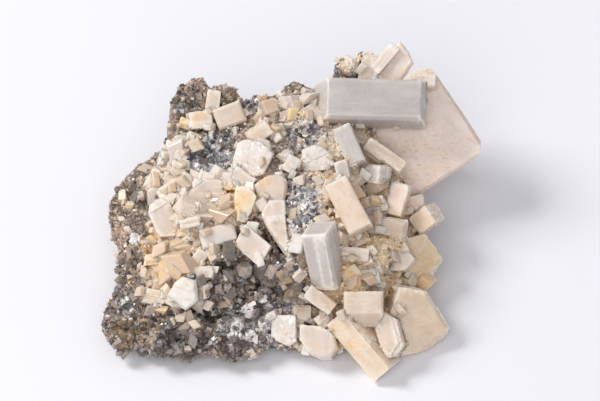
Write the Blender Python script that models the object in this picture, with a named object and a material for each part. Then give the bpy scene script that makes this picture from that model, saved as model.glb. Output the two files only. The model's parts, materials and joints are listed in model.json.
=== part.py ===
"""Barite cluster: cream tablets, blades and a long grey column on a dark granular metallic matrix.

The crystals are laid out on the specimen's crystal face, the side that it is looked at from. A place on
that face is given in millimetres as (right, up), and a third number, out, is the distance in front of it.
The world frame is in metres, +Z up. Its origin is under the middle of the cluster, on the surface
that the cut-flat base of the matrix rests on.
"""

import math
import random
from dataclasses import dataclass

import bmesh
import bpy
from mathutils import Matrix, Vector, geometry, noise

MM = 0.001
GAP = 0.3  # clearance between touching pieces, mm
FACE_RISE = math.radians(50.0)  # the crystal face looks up at this angle above level
FACE_CENTRE = Vector((1.8, -7.2, 32.5))  # world place of the face's origin, mm
LOWEST_CRYSTAL = 0.4  # crystals that reach the ground end this far above it, mm
CRYSTAL_BLANK = 48.0  # smallest block that a crystal is cut from, mm
MERGE_DISTANCE = 2e-6  # metres
CUT_TOLERANCE = 1e-5  # mm
SEED = 8

RIGHT = Vector((1.0, 0.0, 0.0))
UP = Vector((0.0, math.sin(FACE_RISE), math.cos(FACE_RISE)))
OUT = Vector((0.0, -math.cos(FACE_RISE), math.sin(FACE_RISE)))
FACE_AXES = Matrix((RIGHT, UP, OUT)).transposed()

# Matrix, mm
ROCK_POINT_SPACING = 3.8
ROCK_POINT_ROWS = 24  # each way from the middle
ROW_STEP = 0.87  # from one row of points to the next, as a share of the spacing
POINT_JITTER = 0.9
ROCK_ROUGHNESS = 1.3
CRAG_SIZE, CRAG_SHARE, CRAG_LEVEL = 5.5, 1.1, 0.35
SWELL_SIZE, SWELL_SHARE = 9.0, 0.8
GRAIN_SIZE, GRAIN_SHARE = 2.6, 0.6
HEIGHT_BLEND = 2.0  # distance within which one given height rules
WALL_LEVELS = (0.72, 0.45, 0.2, 0.0)  # rings of the wall, as shares of the edge's height
WALL_SMOOTHING = 2
WALL_CRAG = 3.2
WALL_CRAG_SIZE = 7.0
WALL_CRAG_DROP = 6.0  # how far down the wall the crags reach full depth
WALL_TUCK = 0.06  # how far the wall draws in for each mm down
FRONT_TUCK = 0.95  # and further in front, where the matrix is undercut

# Small grey cubes on the left of the matrix and rounded lumps on its right, mm
CUBE_SIZES = (2.0, 3.7)
CUBE_FLATTEST = 0.7
CUBE_COUNT = 86
CUBE_FIELD = ((-54, 4), (-44, 32))
CUBE_PROUD = 0.9
LUMP_RADII = (1.0, 1.9)
LUMP_COUNT = 16
LUMP_FIELD = ((0, 33), (-40, 40))
LUMP_UNEVEN = (0.8, 1.15)
LUMP_PROUD = 0.2
CLEAR_OF_CRYSTALS = 0.3
# Rounded lumps of the rim: (right, up, radius)
RIM_LUMPS = [
    (-20.6, 30.0, 2.9), (12.8, 37.4, 2.8), (17.2, 40.2, 2.4), (-52.4, -35.6, 3.2), (-32.0, 30.0, 3.4),
]

# Edge of the matrix as seen on the crystal face, clockwise from the upper left: (right, up)
ROCK_EDGE = [
    (-37.5, 22.8), (-36.5, 28.5), (-34.7, 30.9), (-31.4, 34.2), (-28.3, 34.2), (-25.3, 32.1),
    (-22.4, 32.9), (-19.6, 32.5), (-17.4, 29.9), (-15.4, 28.0), (-12.4, 29.8), (-7.3, 30.1),
    (-4.6, 31.8), (-1.7, 34.1), (0.6, 33.0), (3.6, 32.0), (8.2, 33.6), (9.9, 38.3), (11.1, 40.8),
    (14.9, 40.3), (16.8, 42.7), (19.2, 42.0), (21.4, 37.5), (23.5, 31.5), (20.5, 25.5),
    (22.0, 18.0), (26.0, 10.0), (30.5, 2.0), (33.2, -8.0), (33.4, -16.0), (32.2, -25.0),
    (28.5, -34.0), (22.0, -40.5), (14.0, -41.5), (7.5, -42.0), (3.5, -41.8), (0.0, -41.8),
    (-2.6, -41.0), (-7.4, -39.6), (-9.0, -41.6), (-13.7, -44.4), (-18.8, -44.7), (-22.4, -44.1),
    (-28.3, -43.6), (-32.5, -44.4), (-35.9, -43.6), (-41.2, -44.1), (-42.3, -41.6), (-46.5, -41.9),
    (-49.3, -42.7), (-51.3, -43.0), (-53.5, -40.5), (-55.4, -36.8), (-55.6, -32.1), (-54.6, -28.7),
    (-51.8, -23.4), (-51.2, -19.8), (-51.8, -15.8), (-49.9, -12.8), (-50.4, -8.9), (-53.5, -4.6),
    (-54.1, -1.0), (-53.5, 0.5), (-51.8, 3.5), (-49.3, 7.1), (-45.4, 10.5), (-39.5, 14.4), (-36.7, 18.7),
]

# Height above the ground of the matrix at places on the face: (right, up, height)
ROCK_HEIGHTS = [
    (-53, -1, 15.5), (-46, 10, 21), (-37, 20, 26), (-33, 32, 31), (-22, 33, 31), (-14, 29, 30), (-2, 33, 31),
    (10, 33, 32), (15, 40, 36), (24, 33, 31), (29, 24, 24), (32, 8, 17), (33, -6, 12), (33, -18, 7.5),
    (30, -33, 3.5), (22, -40, 3.2), (8, -44, 3.6), (-3, -42, 4.4), (-14, -44, 3.8), (-30, -44, 3.8),
    (-48, -42, 4.2), (-55, -35, 7), (-51, -20, 12), (-28, 14, 29), (-14, 14, 30), (0, 12, 31), (12, 12, 30),
    (22, 8, 24), (22, -1, 20), (8, -2, 29), (0, -5, 29), (-16, -3, 28), (-33, -2, 26), (-44, -7, 18),
    (-28, -22, 18), (-42, -28, 11), (-14, -25, 14.5), (-20, -14, 22), (-14, -12, 23), (4, -22, 18),
    (8, -13, 24.5), (22, -13, 18), (14, -21, 17), (12, -33, 8.5), (0, -36, 6.8), (-14, -36, 7.0),
    (-28, -36, 7.6), (24, -30, 7.5), (-4, -18, 22), (-8, -30, 11),
]


@dataclass
class Crystal:
    """A crystal as flat faces round a middle: its seen face, its sides, its back and any chips off its edges.

    node: the piece that it belongs to. at: the middle of the seen face on the crystal face, mm.
    size: length, width and depth, mm. turn: its length's angle from level, degrees. lean: how far
    the seen face turns to the right and up, degrees. skew: slant of its ends, degrees. proud:
    how far it stands out of the matrix; out: its distance in front of the face, where it stands
    clear of the matrix. outline: the seen face's corners about its middle, in place of length
    and width. edges: the width and depth of the slope along each side, from the right end on,
    turning left. chips: further flats, each a point and a direction.
    """

    node: str
    at: tuple
    size: tuple
    turn: float = 0.0
    lean: tuple = (0.0, 0.0)
    skew: float = 0.0
    proud: float = 3.0
    out: float = None
    outline: tuple = None
    edges: tuple = ()
    chips: tuple = ()

    def corners(self):
        if self.outline:
            return [Vector(point) for point in self.outline]
        half_length, half_width = self.size[0] / 2, self.size[1] / 2
        slant = half_width * math.tan(math.radians(self.skew))
        return [
            Vector((half_length - slant, -half_width)),
            Vector((half_length + slant, half_width)),
            Vector((slant - half_length, half_width)),
            Vector((-half_length - slant, -half_width)),
        ]

    def flats(self):
        """Every face as a point on it and its outward direction, mm, in the crystal's own frame."""
        depth = self.size[2]
        found = [(Vector((0, 0, 0)), Vector((0, 0, 1))), (Vector((0, 0, -depth)), Vector((0, 0, -1)))]
        corners = self.corners()
        turning = sum(a.cross(b) for a, b in zip(corners, corners[1:] + corners[:1]))
        for index, start in enumerate(corners):
            end = corners[(index + 1) % len(corners)]
            along = (end - start) * (1 if turning > 0 else -1)
            side = Vector((along.y, -along.x, 0)).normalized()
            found.append((start.to_3d(), side))
            if index < len(self.edges) and self.edges[index]:
                slope_width, slope_depth = self.edges[index]
                slope = side * slope_depth + Vector((0, 0, slope_width))
                found.append((start.to_3d() - side * slope_width, slope.normalized()))
        found += [(Vector(point), Vector(direction).normalized()) for point, direction in self.chips]
        return found

    def placed(self):
        """The crystal's frame in the world, mm."""
        out = self.out if self.out is not None else rock_out(*self.at) + self.proud
        spin = Matrix.Rotation(math.radians(self.lean[0]), 3, "Y")
        spin @= Matrix.Rotation(math.radians(-self.lean[1]), 3, "X")
        spin @= Matrix.Rotation(math.radians(self.turn), 3, "Z")
        return Matrix.Translation(on_face(*self.at, out)) @ (FACE_AXES @ spin).to_4x4()

    def solid(self, grow=0.0):
        """The crystal as a bmesh in world millimetres, with every face moved out by grow."""
        body = bmesh.new()
        bmesh.ops.create_cube(body, size=max(4 * max(self.size), CRYSTAL_BLANK))
        for point, direction in self.flats():
            chip(body, point + direction * grow, direction)
        bmesh.ops.transform(body, matrix=self.placed(), verts=body.verts)
        if min(vert.co.z for vert in body.verts) < LOWEST_CRYSTAL - grow:
            chip(body, Vector((0, 0, LOWEST_CRYSTAL - grow)), Vector((0, 0, -1)))
        return body


def on_face(right, up, out):
    """The world place, mm, of a point of the crystal face."""
    return FACE_CENTRE + RIGHT * right + UP * up + OUT * out


def rock_height(right, up):
    """Height of the matrix above the ground, mm, as a smooth blend of the nearest given heights."""
    total = weight_sum = 0.0
    for place_right, place_up, height in ROCK_HEIGHTS:
        weight = ((right - place_right) ** 2 + (up - place_up) ** 2 + HEIGHT_BLEND**2) ** -2
        total += weight * height
        weight_sum += weight
    return total / weight_sum


def rock_out(right, up):
    """How far in front of the crystal face the matrix lies at a place on it, mm."""
    return (rock_height(right, up) - FACE_CENTRE.z - up * UP.z) / OUT.z


def chip(body, point, direction):
    """Cuts off what lies beyond a plane and closes the cut with one flat face."""
    cut = bmesh.ops.bisect_plane(
        body,
        geom=body.verts[:] + body.edges[:] + body.faces[:],
        dist=CUT_TOLERANCE,
        plane_co=point,
        plane_no=direction,
        clear_outer=True,
    )
    rim = [item for item in cut["geom_cut"] if isinstance(item, bmesh.types.BMEdge)]
    if len(rim) > 2:
        bmesh.ops.contextual_create(body, geom=rim)


BLADE_EDGE = (0.5, 0.5)
FINE_EDGE = (0.3, 0.3)

CRYSTALS = [
    # Upper right
    Crystal("long_column", (19.8, 28.7), (31.0, 11.8, 9.0), turn=-1.5, lean=(0, 16), out=-17.0,
            edges=((1.4, 3.0), (0.6, 0.6), (3.6, 6.0), (0.9, 0.9))),
    Crystal("great_plate", (34.0, 18.0), (27.2, 27.0, 6.0), turn=32.5, out=-26.6,
            edges=((0.8, 1.2), (0.8, 1.2), None, (0.8, 1.2)),
            chips=(((13.2, -12.7, 0), (0.9, -0.45, 0)), ((12.9, -13.1, 0), (0.4, -0.9, 0)),
                   ((13.3, 13.2, 0), (0.7, 0.7, 0)))),
    Crystal("top_fan", (19.4, 36.3), (9.0, 5.0, 4.0), turn=78, skew=-12, out=-26.9),
    Crystal("top_fan", (23.9, 40.2), (9.0, 3.0, 4.5), turn=50, out=-26.0, lean=(-14, 8)),
    Crystal("top_fan", (26.7, 37.4), (12.0, 6.2, 4.5), turn=57, out=-26.9, lean=(-8, 4), skew=18,
            edges=(FINE_EDGE, BLADE_EDGE, None, FINE_EDGE), chips=(((4.6, -2.2, 0), (0.9, -0.6, 0)),)),
    Crystal("rim_tablet", (33.9, 34.9), (9.2, 4.6, 4.5), out=-22.6, lean=(0, 12),
            outline=((-5.0, -0.8), (-0.3, 2.4), (2.8, 2.2), (4.3, 0.8), (4.2, -2.6), (-3.4, -2.6))),
    # Right centre
    Crystal("standing_blade", (5.4, -17.4), (17.0, 7.3, 9.0), turn=-87, lean=(-18, -25), out=6.0,
            edges=(None, BLADE_EDGE, BLADE_EDGE, FINE_EDGE)),
    Crystal("central_blade", (13.3, -1.2), (15.4, 6.7, 6.0), turn=-61.5, lean=(-8, 12), proud=5.5,
            edges=(FINE_EDGE, FINE_EDGE, None, FINE_EDGE)),
    Crystal("sloping_prism_a", (13.7, 15.8), (11.4, 4.9, 6.0), turn=-66, lean=(-8, 14), proud=6.0,
            edges=(FINE_EDGE, FINE_EDGE, None, FINE_EDGE)),
    Crystal("sloping_prism_b", (24.0, 13.0), (12.4, 3.5, 4.5), turn=-37.5, lean=(6, 20), out=-16.0),
    Crystal("shoulder_block", (19.2, 7.6), (6.6, 4.9, 6.5), turn=-8, lean=(-27, 0), proud=5.2,
            chips=(((-2.2, 0, 0), (-0.85, 0.6, 0)),)),
    Crystal("wedge_tablet", (12.0, 8.6), (5.2, 3.0, 4.0), turn=-76, lean=(-10, 5), proud=3.8),
    Crystal("pink_tablet", (27.2, 0.3), (8.8, 4.7, 4.5), turn=75, lean=(-10, 8), proud=4.2),
    Crystal("step_crystal", (20.8, -0.8), (7.2, 3.8, 4.5), turn=7, lean=(0, 10), proud=4.2,
            chips=(((3.0, 1.0, 0), (0.8, 0.5, 0)),)),
    Crystal("brown_crystal", (32.0, -0.8), (5.8, 3.9, 6.0), turn=12, proud=3.0),
    Crystal("outer_cube", (34.3, -5.6), (5.9, 5.4, 7.5), turn=35, lean=(-23, -8), proud=5.5),
    Crystal("cross_prism", (24.2, -7.2), (11.6, 5.0, 5.5), turn=-7, lean=(0, 14), proud=4.6,
            edges=((1.2, 1.2), (0.8, 0.8), (1.2, 1.2), None)),
    Crystal("side_wedge", (33.9, -17.2), (15.0, 12.0, 9.0), lean=(14, 0), out=-13.0,
            outline=((-4.8, 6.2), (1.4, 7.6), (6.4, 0.6), (1.8, -8.5), (-2.8, -5.3), (-5.9, -0.8)),
            chips=(((1.8, -2.2, 0), (0.35, -0.6, 0.8)),)),
    Crystal("pointed_crystal", (28.0, -16.4), (8.4, 6.4, 6.0), proud=5.6,
            chips=(((4.2, 0, 0), (0.72, 0.7, 0)), ((4.2, 0, 0), (0.72, -0.7, 0.1)))),
    Crystal("cross_bar", (14.6, -14.9), (9.2, 3.4, 4.5), turn=-5, lean=(0, 10), proud=4.4),
    Crystal("under_block", (16.8, -10.8), (4.8, 3.4, 4.5), turn=26, lean=(-12, 12), proud=3.0),
    Crystal("link_crystal", (20.6, -17.0), (5.8, 3.0, 4.0), turn=-68, proud=3.0),
    Crystal("rust_crystal", (14.0, -21.0), (4.9, 4.2, 4.0), turn=36, proud=2.8),
    Crystal("glassy_step", (19.4, -21.4), (5.6, 4.0, 4.0), turn=6, proud=2.6),
    Crystal("lower_blade", (5.8, -27.6), (8.6, 3.5, 4.0), turn=-35, lean=(6, 6), proud=4.0),
    Crystal("white_bar", (21.4, -24.7), (5.0, 1.5, 2.5), turn=-30, proud=3.4),
    # Lower right
    Crystal("floor_blade", (16.2, -41.0), (20.5, 6.6, 8.5), turn=-53, lean=(-22, -16), out=3.4,
            edges=(None, FINE_EDGE, None, FINE_EDGE)),
    Crystal("faceted_crystal", (17.8, -30.2), (10.8, 9.4, 8.0), turn=1, lean=(0, 6), out=4.6,
            edges=(BLADE_EDGE, None, BLADE_EDGE, (3.4, 3.2)),
            chips=(((4.8, -2.6, 0), (0.85, -0.6, 0)), ((-4.6, -2.6, 0), (-0.85, -0.55, 0)))),
    Crystal("corner_tablet", (24.9, -37.4), (12.6, 6.6, 6.5), turn=-74, lean=(-8, 4), out=2.0,
            edges=(FINE_EDGE, FINE_EDGE, FINE_EDGE, FINE_EDGE),
            chips=(((6.3, 0.4, 0), (0.75, 0.65, 0)), ((-5.0, 1.6, 0), (-0.7, 0.75, 0)),
                   ((5.0, -2.6, 0), (0.6, -0.8, 0)))),
    Crystal("corner_block", (33.9, -34.3), (17.0, 20.0, 12.0), lean=(13, -4), out=-2.6,
            outline=((-8.0, -10.0), (2.5, -7.6), (7.7, -3.8), (8.4, -2.2), (1.6, 8.7), (-6.2, 10.0),
                     (-9.5, 1.0)),
            edges=((0.8, 0.8), (2.2, 2.2), (1.4, 1.4), (1.0, 0.8))),
    Crystal("toe_crystal", (5.3, -39.6), (10.6, 9.0, 7.0), lean=(-6, 4), proud=4.2,
            outline=((-5.3, 4.8), (-5.3, 0.6), (-2.5, -3.4), (-0.1, -4.4), (3.1, -4.1), (5.3, -1.5),
                     (4.1, 1.9), (0.3, 4.3)),
            edges=(None, None, BLADE_EDGE, BLADE_EDGE, BLADE_EDGE, BLADE_EDGE)),
    Crystal("ivory_block", (-4.5, -36.1), (7.0, 8.4, 5.5), lean=(-6, 4), proud=3.4,
            outline=((-3.6, 3.8), (-3.4, -2.0), (1.7, -4.3), (3.4, -3.2), (3.1, 4.1))),
    Crystal("toe_chip_left", (0.6, -31.6), (4.8, 3.7, 4.0), turn=-3, proud=3.2),
    Crystal("toe_chip_right", (6.5, -33.4), (3.9, 3.4, 4.0), turn=36, proud=3.4),
    # Centre
    Crystal("sugar_plate", (-13.4, 11.9), (11.8, 10.6, 4.0), lean=(-6, 6), proud=2.8,
            outline=((-4.2, 4.2), (-2.0, 5.3), (2.5, 4.4), (5.9, 1.4), (3.1, -4.5), (0.0, -5.3),
                     (-5.9, -3.1))),
    Crystal("upper_tablet", (-11.5, 19.0), (6.8, 4.4, 4.0), turn=35, lean=(-8, 8), proud=2.6),
    Crystal("upper_tablet", (-6.6, 19.3), (4.4, 3.6, 3.8), turn=20, proud=2.0),
    Crystal("brown_chip", (-7.6, 25.9), (4.4, 4.0, 3.5), turn=60, proud=2.0),
    Crystal("fang", (-8.1, 2.7), (9.2, 9.3, 5.5), lean=(-8, 8), proud=3.0,
            outline=((-4.8, 1.4), (-2.5, -4.4), (3.2, -4.8), (4.3, 0.8), (4.0, 3.2), (2.2, 4.5),
                     (-1.4, 4.2)),
            edges=(BLADE_EDGE, None, BLADE_EDGE, BLADE_EDGE, BLADE_EDGE, BLADE_EDGE)),
    Crystal("fang", (-6.4, -8.3), (8.5, 16.0, 8.5), lean=(-6, 8), out=0.6,
            outline=((-4.6, 5.0), (-3.1, 1.1), (3.9, -9.2), (1.4, 8.4), (-2.3, 8.2)),
            edges=(BLADE_EDGE, BLADE_EDGE)),
    Crystal("amber_wedge", (-15.4, -1.0), (6.2, 10.2, 5.0), lean=(-4, 6), proud=3.0,
            outline=((-2.5, 5.0), (-3.1, 1.1), (-2.2, -4.8), (-0.3, -5.2), (1.7, -2.2), (3.1, 2.2),
                     (1.4, 4.5))),
    Crystal("sugar_block", (5.0, 11.6), (9.3, 8.1, 5.0), lean=(-6, 4), proud=2.8,
            outline=((-4.5, 2.5), (-4.5, -1.7), (-3.4, -3.9), (2.0, -2.8), (4.8, -1.4), (2.5, 2.5),
                     (-0.8, 4.2))),
    Crystal("slate_prism", (-2.5, 10.2), (4.6, 3.5, 4.0), turn=60, proud=2.4),
    Crystal("pale_prism", (-1.1, -11.9), (5.4, 3.4, 4.5), turn=80, lean=(-8, 4), proud=3.2),
    Crystal("grey_twin", (-16.0, 6.2), (6.2, 3.6, 3.5), turn=-35, proud=2.4),
    Crystal("grey_twin", (-19.4, 5.4), (4.8, 3.8, 3.8), turn=88, proud=2.6),
    Crystal("milky_fan", (-26.9, 1.8), (12.6, 7.0, 5.0), lean=(0, 10), proud=2.6,
            outline=((-6.2, -1.6), (0.3, 4.4), (4.6, 4.2), (6.4, 0.0), (5.0, -2.2), (-3.9, -2.4)),
            edges=(BLADE_EDGE, BLADE_EDGE, None, None, BLADE_EDGE, BLADE_EDGE)),
    Crystal("milky_fan", (-26.4, 6.0), (4.2, 3.4, 4.0), turn=-12, proud=2.4),
    Crystal("glassy_bar", (-23.0, -9.9), (9.8, 4.6, 5.0), turn=17, lean=(0, 12), proud=3.6,
            edges=(FINE_EDGE, None, FINE_EDGE, FINE_EDGE)),
    Crystal("arrow_twin", (-13.3, -12.5), (9.4, 6.2, 4.5), turn=-40, skew=-12, lean=(-8, 4), proud=3.6),
    Crystal("arrow_twin", (-13.6, -8.6), (5.2, 3.2, 4.2), turn=80, proud=3.8),
    Crystal("arrow_twin", (-11.4, -16.4), (4.0, 2.0, 3.5), turn=-72, proud=3.0),
    # Left
    Crystal("rim_pair", (-28.0, 22.8), (6.2, 4.8, 4.5), turn=8, lean=(-8, 8), proud=2.8),
    Crystal("rim_pair", (-32.2, 21.6), (3.6, 2.8, 3.5), turn=-20, proud=1.6),
    Crystal("domed_pair", (-19.9, 24.1), (8.0, 6.0, 5.0), turn=22, lean=(0, 8), proud=2.8,
            edges=(BLADE_EDGE, BLADE_EDGE, BLADE_EDGE, BLADE_EDGE)),
    Crystal("domed_pair", (-24.6, 27.8), (6.2, 3.6, 7.0), turn=82, out=-23.0),
    Crystal("ivory_tablet", (-38.2, -4.9), (8.5, 10.5, 5.0), lean=(-8, 8), proud=3.6,
            outline=((-4.2, 3.6), (-4.2, 1.2), (-1.4, -5.2), (3.2, -4.9), (4.3, -3.2), (0.7, 5.0),
                     (-1.5, 5.3))),
    Crystal("side_bar", (-32.5, 5.4), (4.7, 2.7, 3.5), turn=62, proud=2.8),
    Crystal("grey_prism", (-40.9, 5.5), (5.6, 4.0, 4.0), turn=60, lean=(-10, 0), proud=2.0),
    Crystal("small_cube", (-29.1, -2.7), (3.3, 3.3, 3.5), turn=84, proud=2.4),
    Crystal("short_bar", (-30.9, -6.2), (5.4, 2.6, 3.5), turn=13, lean=(0, 10), proud=3.2),
    Crystal("yellow_wedge", (-40.5, -16.5), (6.0, 2.9, 3.5), turn=5, skew=20, proud=2.8),
    Crystal("clear_crystal", (-32.5, -25.9), (8.4, 9.0, 5.5), lean=(-6, 0), proud=3.4,
            outline=((-2.5, 2.8), (-4.5, -0.8), (0.6, -4.5), (3.9, -2.1), (3.4, 3.4), (-0.3, 4.5)),
            edges=(None, BLADE_EDGE, BLADE_EDGE, BLADE_EDGE)),
    Crystal("white_cube", (-28.3, -16.2), (3.8, 3.2, 3.5), turn=50, proud=2.8),
    Crystal("beige_bar", (-28.0, -20.2), (7.4, 3.2, 4.0), turn=4, lean=(0, 10), proud=3.0),
    Crystal("cream_wedge", (-40.9, -27.0), (5.4, 4.0, 3.5), turn=-8, skew=15, proud=2.6,
            chips=(((1.6, -1.4, 0), (0.7, -0.7, 0)),)),
    Crystal("edge_prism", (-37.8, 12.9), (5.0, 3.4, 3.5), turn=72, proud=1.8),
    Crystal("shelf_bar", (-33.4, 9.8), (4.8, 2.6, 3.5), turn=4, proud=2.2),
]

# Base colour, roughness and metallic value of each finish
FINISHES = {
    "matrix_rock": ((0.16, 0.15, 0.14), 0.55, 0.35),
    "grey_barite": ((0.60, 0.60, 0.58), 0.30, 0.0),
    "plate_barite": ((0.62, 0.53, 0.46), 0.30, 0.0),
    "cream_barite": ((0.72, 0.66, 0.57), 0.38, 0.0),
    "ivory_barite": ((0.80, 0.75, 0.68), 0.42, 0.0),
    "tan_barite": ((0.66, 0.56, 0.43), 0.35, 0.0),
    "stained_barite": ((0.74, 0.56, 0.32), 0.45, 0.0),
    "milky_barite": ((0.66, 0.62, 0.58), 0.28, 0.0),
}
NODE_FINISH = {
    "matrix": "matrix_rock",
    "long_column": "grey_barite",
    "standing_blade": "grey_barite",
    "sloping_prism_a": "grey_barite",
    "shoulder_block": "grey_barite",
    "wedge_tablet": "grey_barite",
    "great_plate": "plate_barite",
    "pink_tablet": "plate_barite",
    "brown_crystal": "plate_barite",
    "outer_cube": "tan_barite",
    "side_wedge": "tan_barite",
    "corner_block": "tan_barite",
    "floor_blade": "tan_barite",
    "ivory_tablet": "ivory_barite",
    "ivory_block": "ivory_barite",
    "small_cube": "ivory_barite",
    "white_bar": "ivory_barite",
    "toe_crystal": "ivory_barite",
    "rust_crystal": "stained_barite",
    "amber_wedge": "stained_barite",
    "slate_prism": "milky_barite",
    "pale_prism": "milky_barite",
    "yellow_wedge": "stained_barite",
    "brown_chip": "stained_barite",
    "milky_fan": "milky_barite",
    "glassy_bar": "milky_barite",
    "grey_twin": "milky_barite",
    "fang": "milky_barite",
    "cross_prism": "milky_barite",
    "grey_prism": "milky_barite",
}
OTHER_FINISH = "cream_barite"


def clear_scene():
    for obj in list(bpy.data.objects):
        bpy.data.objects.remove(obj, do_unlink=True)


def finish(name):
    material = bpy.data.materials.get(name)
    if material is None:
        colour, roughness, metallic = FINISHES[name]
        material = bpy.data.materials.new(name)
        material.use_nodes = True
        shader = material.node_tree.nodes["Principled BSDF"]
        shader.inputs["Base Color"].default_value = (*colour, 1.0)
        shader.inputs["Roughness"].default_value = roughness
        shader.inputs["Metallic"].default_value = metallic
    return material


def add_object(name, body, guide=False):
    """A bmesh in millimetres as an object in metres; a guide is only there to cut or join with."""
    bmesh.ops.scale(body, vec=(MM, MM, MM), verts=body.verts)
    bmesh.ops.recalc_face_normals(body, faces=body.faces)
    mesh = bpy.data.meshes.new(name)
    body.to_mesh(mesh)
    body.free()
    obj = bpy.data.objects.new(name, mesh)
    bpy.context.scene.collection.objects.link(obj)
    if guide:
        obj.hide_render = True
        obj.display_type = "WIRE"
    else:
        mesh.materials.append(finish(NODE_FINISH.get(name, OTHER_FINISH)))
    return obj


def join_bodies(bodies):
    """Several bmeshes as one, without merging where they cross."""
    joined = bmesh.new()
    for body in bodies:
        mesh = bpy.data.meshes.new("part")
        body.to_mesh(mesh)
        joined.from_mesh(mesh)
        bpy.data.meshes.remove(mesh)
        body.free()
    return joined


def combine(obj, operation, guide):
    """Applies one exact Boolean with a guide, which is then removed."""
    step = obj.modifiers.new(operation, "BOOLEAN")
    step.operation = operation
    step.solver = "EXACT"
    step.object = guide
    graph = bpy.context.evaluated_depsgraph_get()
    result = bpy.data.meshes.new_from_object(obj.evaluated_get(graph))
    obj.modifiers.clear()
    old, obj.data = obj.data, result
    bpy.data.meshes.remove(old)
    bpy.data.objects.remove(guide, do_unlink=True)


def combine_all(obj, operation, bodies):
    """Applies an exact Boolean with many bodies, in groups whose members lie clear of each other."""
    groups = []
    for body in bodies:
        box = reach(body)
        clear = [group for group in groups if not any(near(box, other) for other, _ in group)]
        if clear:
            clear[0].append((box, body))
        else:
            groups.append([(box, body)])
    for group in groups:
        guide = add_object(operation.lower() + "_guide", join_bodies([body for _, body in group]), guide=True)
        combine(obj, operation, guide)


def tidy(obj):
    """Merges points that coincide and drops crumbs, so that one closed body is left."""
    body = bmesh.new()
    body.from_mesh(obj.data)
    bmesh.ops.triangulate(body, faces=body.faces)
    bmesh.ops.remove_doubles(body, verts=body.verts, dist=MERGE_DISTANCE)
    bmesh.ops.dissolve_degenerate(body, edges=body.edges, dist=MERGE_DISTANCE)
    bmesh.ops.triangulate(body, faces=body.faces)
    shells = connected_shells(body)
    if len(shells) > 1:
        largest = max(shells, key=shell_volume)
        crumbs = [face for shell in shells if shell is not largest for face in shell]
        bmesh.ops.delete(body, geom=crumbs, context="FACES")
        loose = [vert for vert in body.verts if not vert.link_faces]
        bmesh.ops.delete(body, geom=loose, context="VERTS")
    body.to_mesh(obj.data)
    body.free()


def connected_shells(body):
    remaining = set(body.faces)
    shells = []
    while remaining:
        shell, front = [], [remaining.pop()]
        while front:
            face = front.pop()
            shell.append(face)
            for edge in face.edges:
                for other in edge.link_faces:
                    if other in remaining:
                        remaining.discard(other)
                        front.append(other)
        shells.append(shell)
    return shells


def shell_volume(shell):
    total = 0.0
    for face in shell:
        corners = [vert.co for vert in face.verts]
        for index in range(1, len(corners) - 1):
            total += corners[0].dot(corners[index].cross(corners[index + 1])) / 6
    return total


def reach(body):
    """Lowest and highest corner of a bmesh."""
    low = Vector([min(vert.co[axis] for vert in body.verts) for axis in range(3)])
    high = Vector([max(vert.co[axis] for vert in body.verts) for axis in range(3)])
    return low, high


def near(reach_a, reach_b):
    (low_a, high_a), (low_b, high_b) = reach_a, reach_b
    return all(low_a[axis] < high_b[axis] and low_b[axis] < high_a[axis] for axis in range(3))


def make_crystals():
    """One object for each named piece; a later piece is cut back from the earlier ones that it meets."""
    names = list(dict.fromkeys(crystal.node for crystal in CRYSTALS))
    placed = []
    for name in names:
        members = [crystal for crystal in CRYSTALS if crystal.node == name]
        obj = add_object(name, members[0].solid())
        for member in members[1:]:
            combine(obj, "UNION", add_object(name + "_member", member.solid(), guide=True))
        own = [reach(member.solid()) for member in members]
        rivals = [other for other, box in placed if any(near(box, part) for part in own)]
        for rival in rivals:
            combine(obj, "DIFFERENCE", add_object(name + "_cut", rival.solid(GAP), guide=True))
        tidy(obj)
        placed += [(member, reach(member.solid(GAP))) for member in members]


def inside(point, polygon):
    crossings = 0
    for (ax, ay), (bx, by) in zip(polygon, polygon[1:] + polygon[:1]):
        if (ay > point[1]) != (by > point[1]):
            crossings += point[0] < ax + (point[1] - ay) * (bx - ax) / (by - ay)
    return crossings % 2 == 1


def edge_distance(point, polygon):
    best = math.inf
    point = Vector(point)
    for start, end in zip(polygon, polygon[1:] + polygon[:1]):
        start, end = Vector(start), Vector(end)
        _, share = geometry.intersect_point_line(point, start, end)
        nearest = start.lerp(end, min(max(share, 0.0), 1.0))
        best = min(best, (nearest - point).length)
    return best


def rock_edge_points():
    """The matrix edge with points no further apart than the spacing."""
    points = []
    for start, end in zip(ROCK_EDGE, ROCK_EDGE[1:] + ROCK_EDGE[:1]):
        pieces = max(1, round((Vector(end) - Vector(start)).length / ROCK_POINT_SPACING))
        points += [tuple(Vector(start).lerp(Vector(end), step / pieces)) for step in range(pieces)]
    return points


def rough(right, up, depth):
    """Craggy height added to the smooth matrix, mm."""
    place = Vector((right, up, 1.0))
    nearest, second, *_ = noise.voronoi(place / CRAG_SIZE)[0]
    crags = second - nearest - CRAG_LEVEL
    swell = noise.noise(place / SWELL_SIZE)
    grain = noise.noise(place / GRAIN_SIZE)
    return depth * (CRAG_SHARE * crags + SWELL_SHARE * swell + GRAIN_SHARE * grain)


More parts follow.
